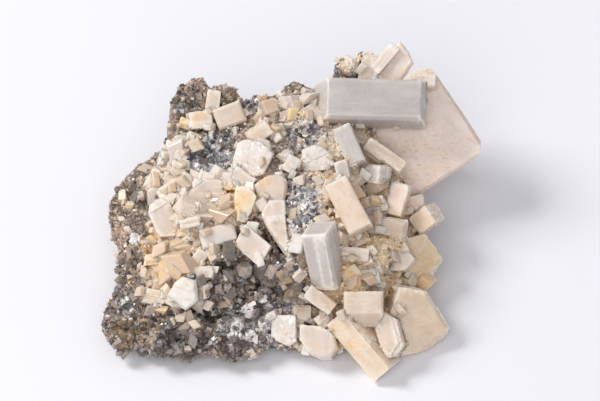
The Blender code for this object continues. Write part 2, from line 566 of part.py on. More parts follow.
def make_rock(random_source):
    """The matrix before anything is joined to it: a craggy top, walls and a cut-flat base."""
    edge = rock_edge_points()
    inner = []
    for row in range(-ROCK_POINT_ROWS, ROCK_POINT_ROWS):
        for column in range(-ROCK_POINT_ROWS, ROCK_POINT_ROWS):
            right = (column + 0.5 * (row % 2)) * ROCK_POINT_SPACING
            up = row * ROCK_POINT_SPACING * ROW_STEP
            right += random_source.uniform(-POINT_JITTER, POINT_JITTER)
            up += random_source.uniform(-POINT_JITTER, POINT_JITTER)
            if inside((right, up), edge) and edge_distance((right, up), edge) > ROCK_POINT_SPACING / 2:
                inner.append((right, up))
    count = len(edge)
    ring = [(index, (index + 1) % count) for index in range(count)]
    flat = [Vector(point) for point in edge + inner]
    points, _, triangles, *_ = geometry.delaunay_2d_cdt(flat, ring, [], 1, 1e-4)
    body = bmesh.new()
    verts = []
    for index, point in enumerate(points):
        out = rock_out(*point)
        if index >= count:
            out += rough(*point, ROCK_ROUGHNESS)
        verts.append(body.verts.new(on_face(*point, out)))
    for triangle in triangles:
        body.faces.new([verts[index] for index in triangle])
    rings = [verts[:count]]
    for level in WALL_LEVELS:
        rings.append(wall_ring(body, rings, level))
    for upper, lower in zip(rings, rings[1:]):
        for here, after in ring:
            body.faces.new((upper[here], lower[here], lower[after], upper[after]))
    body.faces.new(rings[-1])
    bmesh.ops.triangulate(body, faces=body.faces)
    bmesh.ops.recalc_face_normals(body, faces=body.faces)
    return body


def wall_ring(body, rings, level):
    """The next ring of the wall at a share of the edge's height, smoother than the one above it."""
    top, above = rings[0], rings[-1]
    count = len(top)
    level_above = WALL_LEVELS[len(rings) - 2] if len(rings) > 1 else 1.0
    middle = sum((vert.co for vert in top), Vector()) / count
    places = [vert.co.copy() for vert in above]
    for _ in range(WALL_SMOOTHING):
        beside = [(places[index - 1] + places[(index + 1) % count]) / 2 for index in range(count)]
        places = [(place + mean) / 2 for place, mean in zip(places, beside)]
    lower = []
    for place, edge in zip(places, top):
        inward = ((middle - edge.co) * Vector((1, 1, 0))).normalized()
        drop = edge.co.z * (1.0 - level)
        step = edge.co.z * (level_above - level)
        tuck = (FRONT_TUCK * max(inward.y, 0.0) + WALL_TUCK) * step
        crag = WALL_CRAG * min(1.0, drop / WALL_CRAG_DROP)
        crag *= noise.noise(Vector((place.x, place.y, drop)) / WALL_CRAG_SIZE)
        if level == 0.0:
            crag = 0.0
        place = place + inward * (tuck + crag)
        lower.append(body.verts.new((place.x, place.y, edge.co.z * level)))
    return lower


def make_small_crystals(random_source):
    """The little grey cubes and the rounded lumps grown fast to the matrix, between the large crystals."""
    bodies = [make_lump(random_source, right, up, radius) for right, up, radius in RIM_LUMPS]
    made = 0
    while made < CUBE_COUNT:
        right, up = (random_source.uniform(*span) for span in CUBE_FIELD)
        size = random_source.uniform(*CUBE_SIZES)
        if not open_place(right, up, size / 2):
            continue
        made += 1
        turn = Matrix.Rotation(random_source.uniform(0, math.pi), 4, random_unit(random_source))
        cube = bmesh.new()
        bmesh.ops.create_cube(cube, size=size)
        bmesh.ops.scale(cube, vec=(1.0, random_source.uniform(CUBE_FLATTEST, 1.0), 1.0), verts=cube.verts)
        place = Matrix.Translation(on_face(right, up, rock_out(right, up) + CUBE_PROUD)) @ turn
        bmesh.ops.transform(cube, matrix=place, verts=cube.verts)
        bodies.append(cube)
    made = 0
    while made < LUMP_COUNT:
        right, up = (random_source.uniform(*span) for span in LUMP_FIELD)
        radius = random_source.uniform(*LUMP_RADII)
        if open_place(right, up, radius):
            made += 1
            bodies.append(make_lump(random_source, right, up, radius))
    return bodies


def open_place(right, up, margin):
    """Whether a place on the matrix is free of large crystals and away from its edge."""
    if not inside((right, up), ROCK_EDGE) or edge_distance((right, up), ROCK_EDGE) < margin:
        return False
    for crystal in CRYSTALS:
        frame = crystal.placed()
        out = (frame.translation - FACE_CENTRE).dot(OUT)
        place = frame.inverted() @ on_face(right, up, out)
        reach_x = crystal.size[0] / 2 + CLEAR_OF_CRYSTALS + margin
        reach_y = crystal.size[1] / 2 + CLEAR_OF_CRYSTALS + margin
        if abs(place.x) < reach_x and abs(place.y) < reach_y:
            return False
    return True


def make_lump(random_source, right, up, radius):
    lump = bmesh.new()
    bmesh.ops.create_icosphere(lump, subdivisions=1, radius=radius)
    for vert in lump.verts:
        vert.co *= random_source.uniform(*LUMP_UNEVEN)
    place = Matrix.Translation(on_face(right, up, rock_out(right, up) + LUMP_PROUD))
    bmesh.ops.transform(lump, matrix=place, verts=lump.verts)
    return lump


def random_unit(random_source):
    direction = Vector([random_source.gauss(0, 1) for _ in range(3)])
    return direction.normalized()


def make_matrix():
    """The rock with its small crystals, and with a socket where each large crystal is seated."""
    random_source = random.Random(SEED)
    matrix = add_object("matrix", make_rock(random_source))
    combine_all(matrix, "UNION", make_small_crystals(random_source))
    combine_all(matrix, "DIFFERENCE", [crystal.solid(GAP) for crystal in CRYSTALS])
    tidy(matrix)


clear_scene()
make_crystals()
make_matrix()
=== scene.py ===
import json
import math
import random

import bmesh
import bpy
import numpy as np
from mathutils import Matrix, Vector, noise
from mathutils.bvhtree import BVHTree


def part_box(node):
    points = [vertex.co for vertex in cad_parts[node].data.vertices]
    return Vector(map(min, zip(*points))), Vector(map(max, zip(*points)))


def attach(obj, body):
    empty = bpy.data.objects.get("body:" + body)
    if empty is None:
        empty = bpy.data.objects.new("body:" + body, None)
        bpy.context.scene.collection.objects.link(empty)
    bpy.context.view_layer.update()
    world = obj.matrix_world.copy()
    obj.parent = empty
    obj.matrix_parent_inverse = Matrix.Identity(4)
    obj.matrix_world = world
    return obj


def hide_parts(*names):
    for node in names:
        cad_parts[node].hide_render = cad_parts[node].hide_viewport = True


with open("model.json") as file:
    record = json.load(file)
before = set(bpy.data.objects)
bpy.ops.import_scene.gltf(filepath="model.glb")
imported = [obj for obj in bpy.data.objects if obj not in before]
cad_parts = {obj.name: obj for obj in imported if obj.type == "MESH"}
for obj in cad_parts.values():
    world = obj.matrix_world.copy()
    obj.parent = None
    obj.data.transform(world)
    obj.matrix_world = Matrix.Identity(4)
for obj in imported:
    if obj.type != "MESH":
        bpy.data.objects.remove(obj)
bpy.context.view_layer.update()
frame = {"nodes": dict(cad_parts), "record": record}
print("frame loaded:", len(frame["nodes"]), "nodes")

mm = 0.001

# The crystal face that the specimen is looked at from, and how the photograph's pixels lie on it
view = {
    "rise": math.radians(50),
    "centre": Vector((1.8, -7.2, 32.5)) * mm,
    "distance": 3.0,
    "frameWidth": 0.168,
    "pixel": 0.28,
    "middle": (300, 200.5),
}
right = Vector((1, 0, 0))
up = Vector((0, math.sin(view["rise"]), math.cos(view["rise"])))
out = Vector((0, -math.cos(view["rise"]), math.sin(view["rise"])))
faceTurn = Matrix((right, up, out)).transposed()
cameraPlace = view["centre"] + out * view["distance"]


def tone(red, green, blue):
    # a colour as the eye reads it, 0 to 255, as the light that a shader takes
    return tuple((part / 255) ** 2.2 for part in (red, green, blue))


class Wire:
    def __init__(self, look, socket):
        self.look = look
        self.socket = socket

    def maths(self, operation, *values):
        made = self.look.add("ShaderNodeMath", {"operation": operation}, dict(enumerate(values)))
        return Wire(self.look, made.outputs[0])

    def __add__(self, other):
        return self.maths("ADD", self, other)

    def __sub__(self, other):
        return self.maths("SUBTRACT", self, other)

    def __rsub__(self, other):
        return self.maths("SUBTRACT", other, self)

    def __mul__(self, other):
        return self.maths("MULTIPLY", self, other)

    def __truediv__(self, other):
        return self.maths("DIVIDE", self, other)

    def __pow__(self, other):
        return self.maths("POWER", self, other)

    __radd__ = __add__
    __rmul__ = __mul__

    def between(self, low, high):
        settings = {"interpolation_type": "SMOOTHSTEP"}
        made = self.look.add("ShaderNodeMapRange", settings, {"Value": self, "From Min": low, "From Max": high})
        return Wire(self.look, made.outputs["Result"])

    def clipped(self):
        made = self.look.add("ShaderNodeClamp", {}, {"Value": self})
        return Wire(self.look, made.outputs[0])


class Look:
    def __init__(self, name, **values):
        self.material = bpy.data.materials.new(name)
        self.material.use_nodes = True
        self.tree = self.material.node_tree
        self.shader = self.tree.nodes["Principled BSDF"]
        self.place = Wire(self, self.add("ShaderNodeTexCoord", {}, {}).outputs["Object"])
        self.feed(**values)

    def add(self, kind, settings, inputs):
        made = self.tree.nodes.new(kind)
        for key, value in settings.items():
            setattr(made, key, value)
        for key, value in inputs.items():
            self.join(value, made.inputs[key])
        return made

    def join(self, value, socket):
        if isinstance(value, Wire):
            self.tree.links.new(value.socket, socket)
        else:
            socket.default_value = value

    def feed(self, **values):
        for key, value in values.items():
            name = " ".join(part.capitalize() if part != "ior" else "IOR" for part in key.split("_"))
            if isinstance(value, tuple) and len(value) == 3 and "Radius" not in name:
                value = (*value, 1)
            self.join(value, self.shader.inputs[name])

    def grain(self, size, detail=2, distortion=0, stretch=None, place=None):
        place = place or self.place
        if stretch:
            mapped = self.add("ShaderNodeMapping", {}, {"Vector": place, "Rotation": stretch[0], "Scale": stretch[1]})
            place = Wire(self, mapped.outputs[0])
        inputs = {"Vector": place, "Scale": 1 / (size * mm), "Detail": detail, "Distortion": distortion}
        return Wire(self, self.add("ShaderNodeTexNoise", {}, inputs).outputs[0])

    def cells(self, size, output="Distance", feature="F1"):
        inputs = {"Vector": self.place, "Scale": 1 / (size * mm)}
        return Wire(self, self.add("ShaderNodeTexVoronoi", {"feature": feature}, inputs).outputs[output])

    def cellValue(self, size):
        split = self.add("ShaderNodeSeparateColor", {}, {"Color": self.cells(size, "Color")})
        return Wire(self, split.outputs[0])

    def mark(self, name):
        return Wire(self, self.add("ShaderNodeAttribute", {"attribute_name": name}, {}).outputs["Fac"])

    def way(self, name):
        # a place on the surface in directions of its own, kept as an attribute
        return Wire(self, self.add("ShaderNodeAttribute", {"attribute_name": name}, {}).outputs["Vector"])

    def mix(self, share, first, second, blend="MIX"):
        first, second = ((*c, 1) if isinstance(c, tuple) and len(c) == 3 else c for c in (first, second))
        settings = {"data_type": "RGBA", "blend_type": blend}
        made = self.add("ShaderNodeMix", settings, {0: share, 6: first, 7: second})
        return Wire(self, made.outputs[2])

    def bump(self, height, strength, depth, normal=None):
        inputs = {"Height": height, "Strength": strength, "Distance": depth * mm}
        if normal:
            inputs["Normal"] = normal
        return Wire(self, self.add("ShaderNodeBump", {}, inputs).outputs[0])

    def vectors(self, operation, *values):
        made = self.add("ShaderNodeVectorMath", {"operation": operation}, dict(enumerate(values)))
        return Wire(self, made.outputs[0])

    def facets(self, size, tilt):
        # every cell of the surface tilted its own way, as the faces of small crystals are
        tilted = self.vectors("SUBTRACT", self.cells(size, "Color"), (0.5, 0.5, 0.5))
        tilted = self.vectors("MULTIPLY", tilted, (tilt, tilt, tilt))
        plain = Wire(self, self.add("ShaderNodeNewGeometry", {}, {}).outputs["Normal"])
        return self.vectors("NORMALIZE", self.vectors("ADD", plain, tilted))


def facePlaces(points):
    # right, up and out of world points, in mm
    return (np.asarray(points) - np.array(view["centre"])) @ np.array(faceTurn) / mm


def pixelPlaces(points):
    places = facePlaces(points)
    nearer = view["distance"] / (view["distance"] - places[:, 2] * mm)
    across = view["middle"][0] + places[:, 0] / view["pixel"] * nearer
    down = view["middle"][1] - places[:, 1] / view["pixel"] * nearer
    return across, down


def pixelRay(x, y):
    across = (x - view["middle"][0]) * view["pixel"] * mm
    rise = (view["middle"][1] - y) * view["pixel"] * mm
    return (right * across + up * rise - out * view["distance"]).normalized()


def noiseAt(points, size, seed=0.0):
    shift = Vector((seed, seed * 1.7, -seed))
    factor = 1 / (size * mm)
    return np.array([noise.noise(Vector(point) * factor + shift) for point in points])


def cellAt(points, size, seed=0.0):
    # nearest and second nearest distance to scattered cell middles
    shift = Vector((seed, seed * 1.7, -seed))
    factor = 1 / (size * mm)
    found = [noise.voronoi(Vector(point) * factor + shift)[0] for point in points]
    return np.array([item[0] for item in found]), np.array([item[1] for item in found])


def smooth(value, low, high):
    share = np.clip((value - low) / (high - low), 0, 1)
    return share * share * (3 - 2 * share)


def spots(across, down, patches, soft=0.45):
    # how far each place lies in a list of patches: (x, y, width, height) in pixels, half sizes
    best = np.zeros(len(across))
    for patch in patches:
        x, y, wide, high = patch[:4]
        strength = patch[4] if len(patch) > 4 else 1.0
        reach = np.hypot((across - x) / wide, (down - y) / high)
        best = np.maximum(best, strength * (1 - smooth(reach, 1 - soft, 1 + soft)))
    return best


def vertexArray(mesh):
    places = np.zeros(len(mesh.vertices) * 3)
    mesh.vertices.foreach_get("co", places)
    return places.reshape(-1, 3)


def normalArray(mesh):
    normals = np.zeros(len(mesh.vertices) * 3)
    mesh.vertices.foreach_get("normal", normals)
    return normals.reshape(-1, 3)


def putVertices(mesh, places):
    mesh.vertices.foreach_set("co", np.ascontiguousarray(places).ravel())
    mesh.update()


def setMark(mesh, name, values):
    layer = mesh.attributes.get(name) or mesh.attributes.new(name, "FLOAT", "POINT")
    layer.data.foreach_set("value", np.asarray(values, np.float32))


def setWay(mesh, name, places):
    layer = mesh.attributes.new(name, "FLOAT_VECTOR", "POINT")
    layer.data.foreach_set("vector", np.ascontiguousarray(places, np.float32).ravel())


def newPiece(name, mesh, look):
    piece = bpy.data.objects.new(name, mesh)
    bpy.context.scene.collection.objects.link(piece)
    mesh.materials.clear()
    mesh.materials.append(look.material)
    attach(piece, "root")
    return piece


def fineCopy(node, voxel):
    # a CAD solid as an even fine mesh
    body = bmesh.new()
    body.from_mesh(frame["nodes"][node].data)
    bmesh.ops.remove_doubles(body, verts=body.verts, dist=2e-6)
    bmesh.ops.recalc_face_normals(body, faces=body.faces)
    mesh = bpy.data.meshes.new(node + "_fine")
    body.to_mesh(mesh)
    body.free()
    guide = bpy.data.objects.new("guide", mesh)
    bpy.context.scene.collection.objects.link(guide)
    remesh = guide.modifiers.new("even", "REMESH")
    remesh.mode = "VOXEL"
    remesh.voxel_size = voxel * mm
    remesh.use_smooth_shade = True
    graph = bpy.context.evaluated_depsgraph_get()
    fine = bpy.data.meshes.new_from_object(guide.evaluated_get(graph))
    bpy.data.objects.remove(guide)
    return fine


def edgeShare(mesh):
    # 0 on flat faces, 1 on the edges of a fine crystal
    normals = normalArray(mesh)
    pairs = np.zeros(len(mesh.edges) * 2, int)
    mesh.edges.foreach_get("vertices", pairs)
    first, second = pairs[0::2], pairs[1::2]
    bend = 1 - np.einsum("ij,ij->i", normals[first], normals[second])
    most = np.zeros(len(normals))
    np.maximum.at(most, first, bend)
    np.maximum.at(most, second, bend)
    return np.clip(most * 8, 0, 1)


def treeOf(mesh):
    body = bmesh.new()
    body.from_mesh(mesh)
    tree = BVHTree.FromBMesh(body)
    body.free()
    return tree


def bariteLook(name, main, second, rough, glow, clear=0.0, veil=0.3, dirt=0.7, frost=0.0, flecks=0.0):
    look = Look(name, ior=1.62, subsurface_weight=glow, subsurface_radius=(1.0, 0.84, 0.68),
                subsurface_scale=2.4 * mm, transmission_weight=clear)
    own = look.way("own")
    cloud = look.grain(6, 4).between(0.36, 0.64)
    fine = look.grain(0.9, 5)
    lines = look.grain(1.3, 3, 0.2, ((0, 0, 0), (0.1, 1, 1)), own).between(0.56, 0.68)  # cleavage lines
    zones = look.grain(4, 2, 0.3, ((0, 0, 0), (0.3, 1, 1)), own).between(0.42, 0.6)  # clearer parts inside
    tint = look.mark("tint")
    clearer = tuple(part * share for part, share in zip(second, (0.82, 0.82, 0.84)))
    colour = look.mix(cloud, main, second)
    colour = look.mix(zones * (0.2 + tint * 0.3) * (1 - look.mark("brim") * 0.6), colour, clearer)
    colour = look.mix(lines * veil, colour, tone(246, 240, 234))
    colour = look.mix(tint.between(0.5, 1) * 0.4, colour, tuple(0.82 * part for part in second))
    colour = look.mix((1 - tint).between(0.6, 1) * 0.3, colour, tone(212, 205, 201))
    colour = look.mix(fine.between(0.5, 0.75) * 0.16, colour, tuple(0.72 * part for part in main))
    # the edges are whitened: partly whitish bruised edges, partly a painted highlight and glow along them
    colour = look.mix((look.mark("edge") ** 3 * 0.6 * fine.between(0.15, 0.55)).clipped(), colour, tone(248, 241, 233))
    # painted warm shade: near the rock (deepShade) the colour turns darker and more orange, as bounced light in a
    # crevice does; the warm mark adds its part, partly amber tint and partly painted warm shade
    warm = (look.mark("deepShade") * 0.3 + look.mark("warm") * 0.22).clipped()
    colour = look.mix(warm, colour, look.mix(1.0, colour, (1.0, 0.87, 0.71), "MULTIPLY"))
    soiled = (look.mark("root") * dirt * look.grain(0.9, 5).between(0.42, 0.62)).clipped()
    colour = look.mix(soiled, colour, tone(176, 136, 92))
    speckled = look.grain(0.8, 5).between(0.4, 0.62) * (0.35 + look.mark("root") + look.mark("edge") * 0.5)
    stained = (look.mark("stain") * speckled * 1.4).clipped()
    colour = look.mix(stained, colour, tone(236, 184, 108))
    if frost:
        colour = look.mix(look.cellValue(0.4) * 0.45, colour, tuple(0.74 * part for part in second))
    if flecks:
        streaks = look.grain(1.5, 3, 0.3, ((0.2, 0.5, 0.9), (1, 4, 1))).between(0.57, 0.66)
        colour = look.mix(streaks * look.mark("fleck") * flecks, colour, tone(226, 184, 118))
    relief = look.grain(0.35, 3) * 0.6 + fine + soiled + lines * 0.3
    tilted = look.facets(0.9, frost) if frost else None
    look.feed(base_color=colour, roughness=rough + fine.between(0.3, 0.75) * 0.22 - look.grain(3, 2) * 0.1,
              normal=look.bump(relief, 0.2 if clear else 0.4, 0.12, tilted))
    return look


barites = {
    "grey_barite": bariteLook("greyBarite", tone(212, 206, 202), tone(202, 194, 189), 0.3, 0.7, veil=0.16, dirt=0.4),
    "plate_barite": bariteLook("plateBarite", tone(236, 215, 199), tone(242, 225, 213), 0.22, 0.7, veil=0.2, dirt=0.2,
                               flecks=1.0),
    "cream_barite": bariteLook("creamBarite", tone(231, 215, 199), tone(220, 200, 179), 0.28, 0.65),
    "ivory_barite": bariteLook("ivoryBarite", tone(222, 209, 197), tone(214, 199, 185), 0.34, 0.6, dirt=0.45),
    "tan_barite": bariteLook("tanBarite", tone(246, 228, 204), tone(236, 212, 180), 0.22, 0.7),
    "stained_barite": bariteLook("stainedBarite", tone(246, 226, 194), tone(240, 210, 166), 0.3, 0.6),
    "milky_barite": bariteLook("milkyBarite", tone(232, 217, 204), tone(220, 203, 188), 0.16, 0.7, veil=0.5),
}
# crystals with a finish of their own, where the finish of their slot is too plain
ownLooks = {
    "frosted": (bariteLook("frostedBarite", tone(250, 244, 238), tone(238, 227, 217), 0.22, 0.5, veil=0.6, frost=0.55),
                ("sugar_plate", "sugar_block", "ivory_block")),
    "glassy": (bariteLook("glassyBarite", tone(248, 241, 234), tone(238, 227, 216), 0.12, 0.8, 0.1, 0.8, 0.4),
               ("clear_crystal", "glassy_bar", "glassy_step", "slate_prism", "pale_prism")),
    "amber": (bariteLook("amberBarite", tone(248, 228, 198), tone(240, 212, 170), 0.18, 0.6, 0.12, 0.4, 0.4),
              ("side_wedge", "link_crystal")),
}


def matrixLook():
    look = Look("sulphideRock", ior=1.6)
    cell, big = look.cellValue(0.7), look.cellValue(1.9)
    patch = look.grain(5, 4)
    broad = look.grain(13, 3)
    dark = look.mix(cell, tone(72, 62, 54), tone(182, 166, 152))
    dark = look.mix(big.between(0.6, 1) * 0.6, dark, tone(190, 174, 160))
    galena = look.mix(cell, tone(100, 98, 102), tone(224, 221, 224))
    brown = look.mix(cell, tone(104, 86, 74), tone(216, 192, 170))
    crust = look.mix(look.grain(0.8, 3).between(0.3, 0.7), tone(250, 226, 192), tone(255, 250, 238))
    crust = look.mix(look.mark("hollow") * 0.6, crust, tone(208, 156, 100))
    colour = look.mix(look.mark("galena"), dark, galena)
    colour = look.mix((look.mark("rim") * (0.5 + patch)).clipped(), colour, brown)
    colour = look.mix(look.mark("rim") * broad.between(0.5, 0.62) * 0.6, colour, tone(142, 132, 126))
    colour = look.mix(look.mark("rim") * (1 - broad).between(0.56, 0.68) * 0.6, colour, tone(196, 150, 104))
    colour = look.mix(look.mark("crust"), colour, crust)
    rusty = (look.mark("rust") * look.grain(1.5, 3).between(0.35, 0.6)).clipped()
    colour = look.mix(rusty, colour, tone(228, 174, 104))
    frosty = (look.mark("frost") * look.grain(0.7, 3).between(0.4, 0.6)).clipped()
    colour = look.mix(frosty, colour, tone(246, 240, 234))
    # painted shade: the pits are coloured almost black, as the shade deep in a hollow
    colour = look.mix(look.mark("shadedPit") * 0.85, colour, tone(40, 33, 28))
    bare = (1 - look.mark("crust")) * (1 - look.mark("shadedPit"))
    look.feed(base_color=colour, metallic=bare * cell.between(0.3, 0.9) * 0.5,
              roughness=0.75 - bare * 0.45 * cell,
              normal=look.bump(look.grain(0.4, 3) - look.cells(0.7), 0.6, 0.25, look.facets(0.6, 0.8)))
    return look


def grainLook(name, low, high, metallic, rough, glow=0.0, clear=0.0):
    look = Look(name, ior=1.6, metallic=metallic, subsurface_weight=glow, subsurface_scale=0.8 * mm,
                subsurface_radius=(1.0, 0.8, 0.6), transmission_weight=clear)
    colour = look.mix(look.mark("tint"), low, high)
    darker = 0.4 if glow < 0.5 else 0.12
    colour = look.mix(look.grain(0.5, 3).between(0.4, 0.7) * darker, colour, tuple(part * 0.55 for part in low))
    if glow > 0:
        # warmer where the warm mark lies: partly amber tint, partly painted warm bounce light in shade
        colour = look.mix(look.mark("warm") * 0.8, colour, look.mix(1.0, colour, (1.0, 0.88, 0.72), "MULTIPLY"))
        colour = look.mix((look.mark("stain") * look.grain(1.6, 3).between(0.35, 0.65) * 0.8).clipped(), colour,
                          tone(242, 198, 132))
    look.feed(base_color=colour, roughness=rough + look.grain(0.4, 2) * 0.25,
              normal=look.bump(look.grain(0.3, 3), 0.3, 0.1))
    return look


looks = {
    "rock": matrixLook(),
    "galena": grainLook("galenaCube", tone(84, 82, 86), tone(206, 202, 204), 0.45, 0.22),
    "sulphide": grainLook("sulphideGrain", tone(80, 67, 56), tone(230, 206, 181), 0.35, 0.22),
    "greyCube": grainLook("greyCube", tone(82, 73, 68), tone(196, 182, 172), 0.0, 0.16, 0.4, 0.1),
    "pale": grainLook("paleCrystal", tone(206, 188, 170), tone(244, 234, 224), 0.0, 0.22, 0.5),
    "milkyPlate": grainLook("milkyPlate", tone(222, 208, 196), tone(248, 239, 230), 0.0, 0.16, 0.6, 0.06),
    "sugar": grainLook("sugarGrain", tone(246, 218, 182), tone(255, 249, 238), 0.0, 0.4, 0.4),
    "frost": grainLook("frostGrain", tone(216, 209, 203), tone(254, 252, 250), 0.0, 0.25),
}
print("looks made")

matrixShape = {
    "voxel": 0.55,
    "lumpSize": 4.2, "lumpDepth": 0.55,
    "grainSize": 1.5, "grainDepth": 0.55,
    "fineSize": 0.8, "fineDepth": 0.16,
    "wormSize": 1.5, "wormDepth": 0.5,
    "flatBase": 0.6, "swell": 3.0,
    "backSize": 8.5, "backDepth": 2.6,  # broad lumps and hollows of the broken back
    "tuckHeight": 6, "tuckDepth": 2.4,  # the walls curve in towards the base
    "archMiddle": 2.4, "archHalf": 10, "archHeight": 9.5, "archDepth": 6.5,  # the hollow under the front's middle
    "grownTo": (0.4, 0.8),  # the rock closes up to a crystal within this distance
}
# patches of the matrix as the photograph shows them: middle x, y and half width, height in pixels
patches = {
    "crust": [(370, 175, 60, 75), (365, 265, 60, 75), (356, 62, 16, 12), (350, 330, 80, 40), (205, 190, 40, 26, 0.55), (250, 190, 36, 26, 0.55),
              (180, 245, 34, 24), (172, 272, 26, 16), (160, 292, 20, 14), (325, 150, 26, 30), (300, 240, 14, 32),
              (190, 145, 20, 10), (270, 115, 14, 14, 0.7), (300, 113, 24, 20, 0.8), (222, 232, 18, 12), (250, 155, 16, 16)],
    "galena": [(207, 160, 24, 13), (250, 103, 8, 10, 0.7), (306, 136, 16, 14), (300, 208, 16, 24), (216, 146, 14, 14),
               (185, 105, 10, 9, 0.4), (285, 330, 30, 24, 0.8)],
    "rim": [(195, 88, 26, 18), (230, 94, 22, 16), (254, 118, 18, 24), (278, 104, 20, 12, 0.7), (113, 215, 12, 50), (116, 300, 22, 50, 0.9),
            (140, 160, 26, 16), (125, 345, 26, 14), (212, 357, 16, 6)],
    "rust": [(134, 332, 20, 12, 0.8), (188, 262, 22, 16, 0.8), (229, 195, 14, 14, 0.7),
             (383, 243, 22, 9, 0.7), (350, 190, 16, 12, 0.8), (372, 258, 14, 8, 0.6), (365, 290, 30, 9, 0.5),
             (345, 272, 12, 14, 0.7), (332, 206, 8, 12, 0.8), (347, 150, 8, 12, 0.4), (318, 172, 14, 6, 0.6),
             (290, 345, 16, 6, 0.4), (150, 305, 8, 8, 0.6), (148, 245, 10, 10), (172, 272, 20, 14), (200, 250, 16, 8, 0.7),
             (240, 205, 12, 16), (336, 200, 10, 24, 0.5), (330, 290, 12, 20, 0.5)],
    "swell": [(384, 243, 22, 13, 1.7), (373, 258, 15, 15, 1.7), (366, 290, 34, 12), (345, 276, 12, 20), (332, 292, 10, 16, 0.7),
              (360, 186, 20, 10, 0.5), (345, 205, 14, 14, 0.5), (172, 272, 16, 12, 0.8), (205, 205, 30, 16, 0.6),
              (330, 145, 14, 12, 0.5), (300, 112, 20, 16, 0.6)],
    "frost": [(310, 200, 10, 13), (262, 312, 17, 11), (228, 330, 8, 10), (246, 322, 22, 11), (262, 331, 18, 12),
              (301, 126, 8, 7), (222, 150, 7, 6), (207, 167, 12, 4), (137, 239, 6, 5), (125, 310, 8, 10, 0.5)],
    # pits: hollows of the rock, also painted almost black as painted shade
    "shadedPit": [(239, 230, 10, 10), (214, 283, 8, 10), (204, 302, 11, 8), (236, 262, 12, 8, 0.6), (272, 243, 14, 12), (225, 268, 12, 10), (200, 311, 12, 8), (213, 318, 10, 8),
            (262, 290, 14, 8), (300, 292, 5, 5), (362, 184, 10, 6), (334, 208, 6, 10), (245, 298, 10, 6),
            (338, 270, 5, 16), (312, 308, 6, 6), (240, 122, 5, 8)],
}


def solidsTree(nodes):
    places, faces, owners = [], [], []
    for node in nodes:
        mesh = frame["nodes"][node].data
        start = len(places)
        places += [vertex.co.copy() for vertex in mesh.vertices]
        faces += [[start + index for index in polygon.vertices] for polygon in mesh.polygons]
        owners += [node] * len(mesh.polygons)
    return BVHTree.FromPolygons(places, faces), owners


slotOf = {entry["node"]: entry["material_slot"] for entry in frame["record"]["subparts"]}
crystalNodes = [node for node in sorted(slotOf) if node != "matrix"]
solidCrystals, crystalOwners = solidsTree(crystalNodes)


def closeUp(places):
    # closes the narrow sockets, so that the rock meets its crystals
    near, far = matrixShape["grownTo"]
    for index, place in enumerate(places):
        hit, normal, _, distance = solidCrystals.find_nearest(Vector(place), far * mm)
        if hit is not None:
            share = 1 - smooth(distance / mm, near, far)
            places[index] += (np.array(hit - normal * 0.05 * mm) - place) * share
    return places


def makeMatrix():
    mesh = fineCopy("matrix", matrixShape["voxel"])
    places, normals = vertexArray(mesh), normalArray(mesh)
    across, down = pixelPlaces(places)
    wobble = noiseAt(places, 2.4, 3.0)
    across, down = across + 9 * wobble, down + 9 * noiseAt(places, 2.4, 8.0)
    facing = normals @ np.array(out)
    front = smooth(facing, -0.1, 0.25)
    marks = {name: spots(across, down, spread) * front for name, spread in patches.items()}
    rimShare = 1 - smooth(facing, -0.2, 0.35)
    marks["rim"] = np.clip(np.maximum(marks["rim"], rimShare * (0.65 + 0.5 * wobble)), 0, 1)
    marks["crust"] = np.clip(marks["crust"] - marks["galena"], 0, 1)
    nearest, second = cellAt(places, matrixShape["grainSize"], 1.0)
    finer, _ = cellAt(places, matrixShape["fineSize"], 5.0)
    lumps = noiseAt(places, matrixShape["lumpSize"], 2.0)
    worms = 1 - np.clip(np.abs(noiseAt(places, matrixShape["wormSize"], 6.0)) * 5, 0, 1)
    behind = 1 - front
    move = matrixShape["lumpDepth"] * lumps
    move += matrixShape["backDepth"] * behind * (noiseAt(places, matrixShape["backSize"], 4.0) - 0.35)
    move += matrixShape["grainDepth"] * (np.minimum(second - nearest, 0.5) - 0.25)
    move += matrixShape["fineDepth"] * (0.5 - finer)
    move += matrixShape["wormDepth"] * marks["crust"] * (worms - 0.4)
    move -= 2.0 * marks["shadedPit"]
    places += np.array(out) * (matrixShape["swell"] * marks.pop("swell") * mm)[:, None]
    settle = smooth(places[:, 2] / mm, 0.05, matrixShape["flatBase"])
    places += normals * (move * settle * mm)[:, None]
    sideways = normals * np.array((1, 1, 0))
    tuck = np.clip(1 - places[:, 2] / mm / matrixShape["tuckHeight"], 0, 1) ** 1.6 * matrixShape["tuckDepth"]
    places -= sideways * (tuck * (1 + 0.6 * wobble) * mm)[:, None]
    arch = np.clip(1 - ((places[:, 0] / mm - matrixShape["archMiddle"]) / matrixShape["archHalf"]) ** 2, 0, 1)
    arch *= smooth(-normals[:, 1], 0.1, 0.5) * (1 - smooth(places[:, 2] / mm, 0.55 * matrixShape["archHeight"],
                                                           matrixShape["archHeight"]))
    places[:, 1] += arch * matrixShape["archDepth"] * mm
    places = closeUp(places)
    places[:, 2] = np.maximum(places[:, 2], 0)
    putVertices(mesh, places)
    marks["hollow"] = (1 - worms) ** 2 * 0.8
    for name, values in marks.items():
        setMark(mesh, name, values)
    piece = newPiece("matrix_rock", mesh, looks["rock"])
    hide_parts("matrix")
    print("matrix:", len(mesh.polygons), "faces")
    return piece


matrixPiece = makeMatrix()
matrixTree = treeOf(matrixPiece.data)

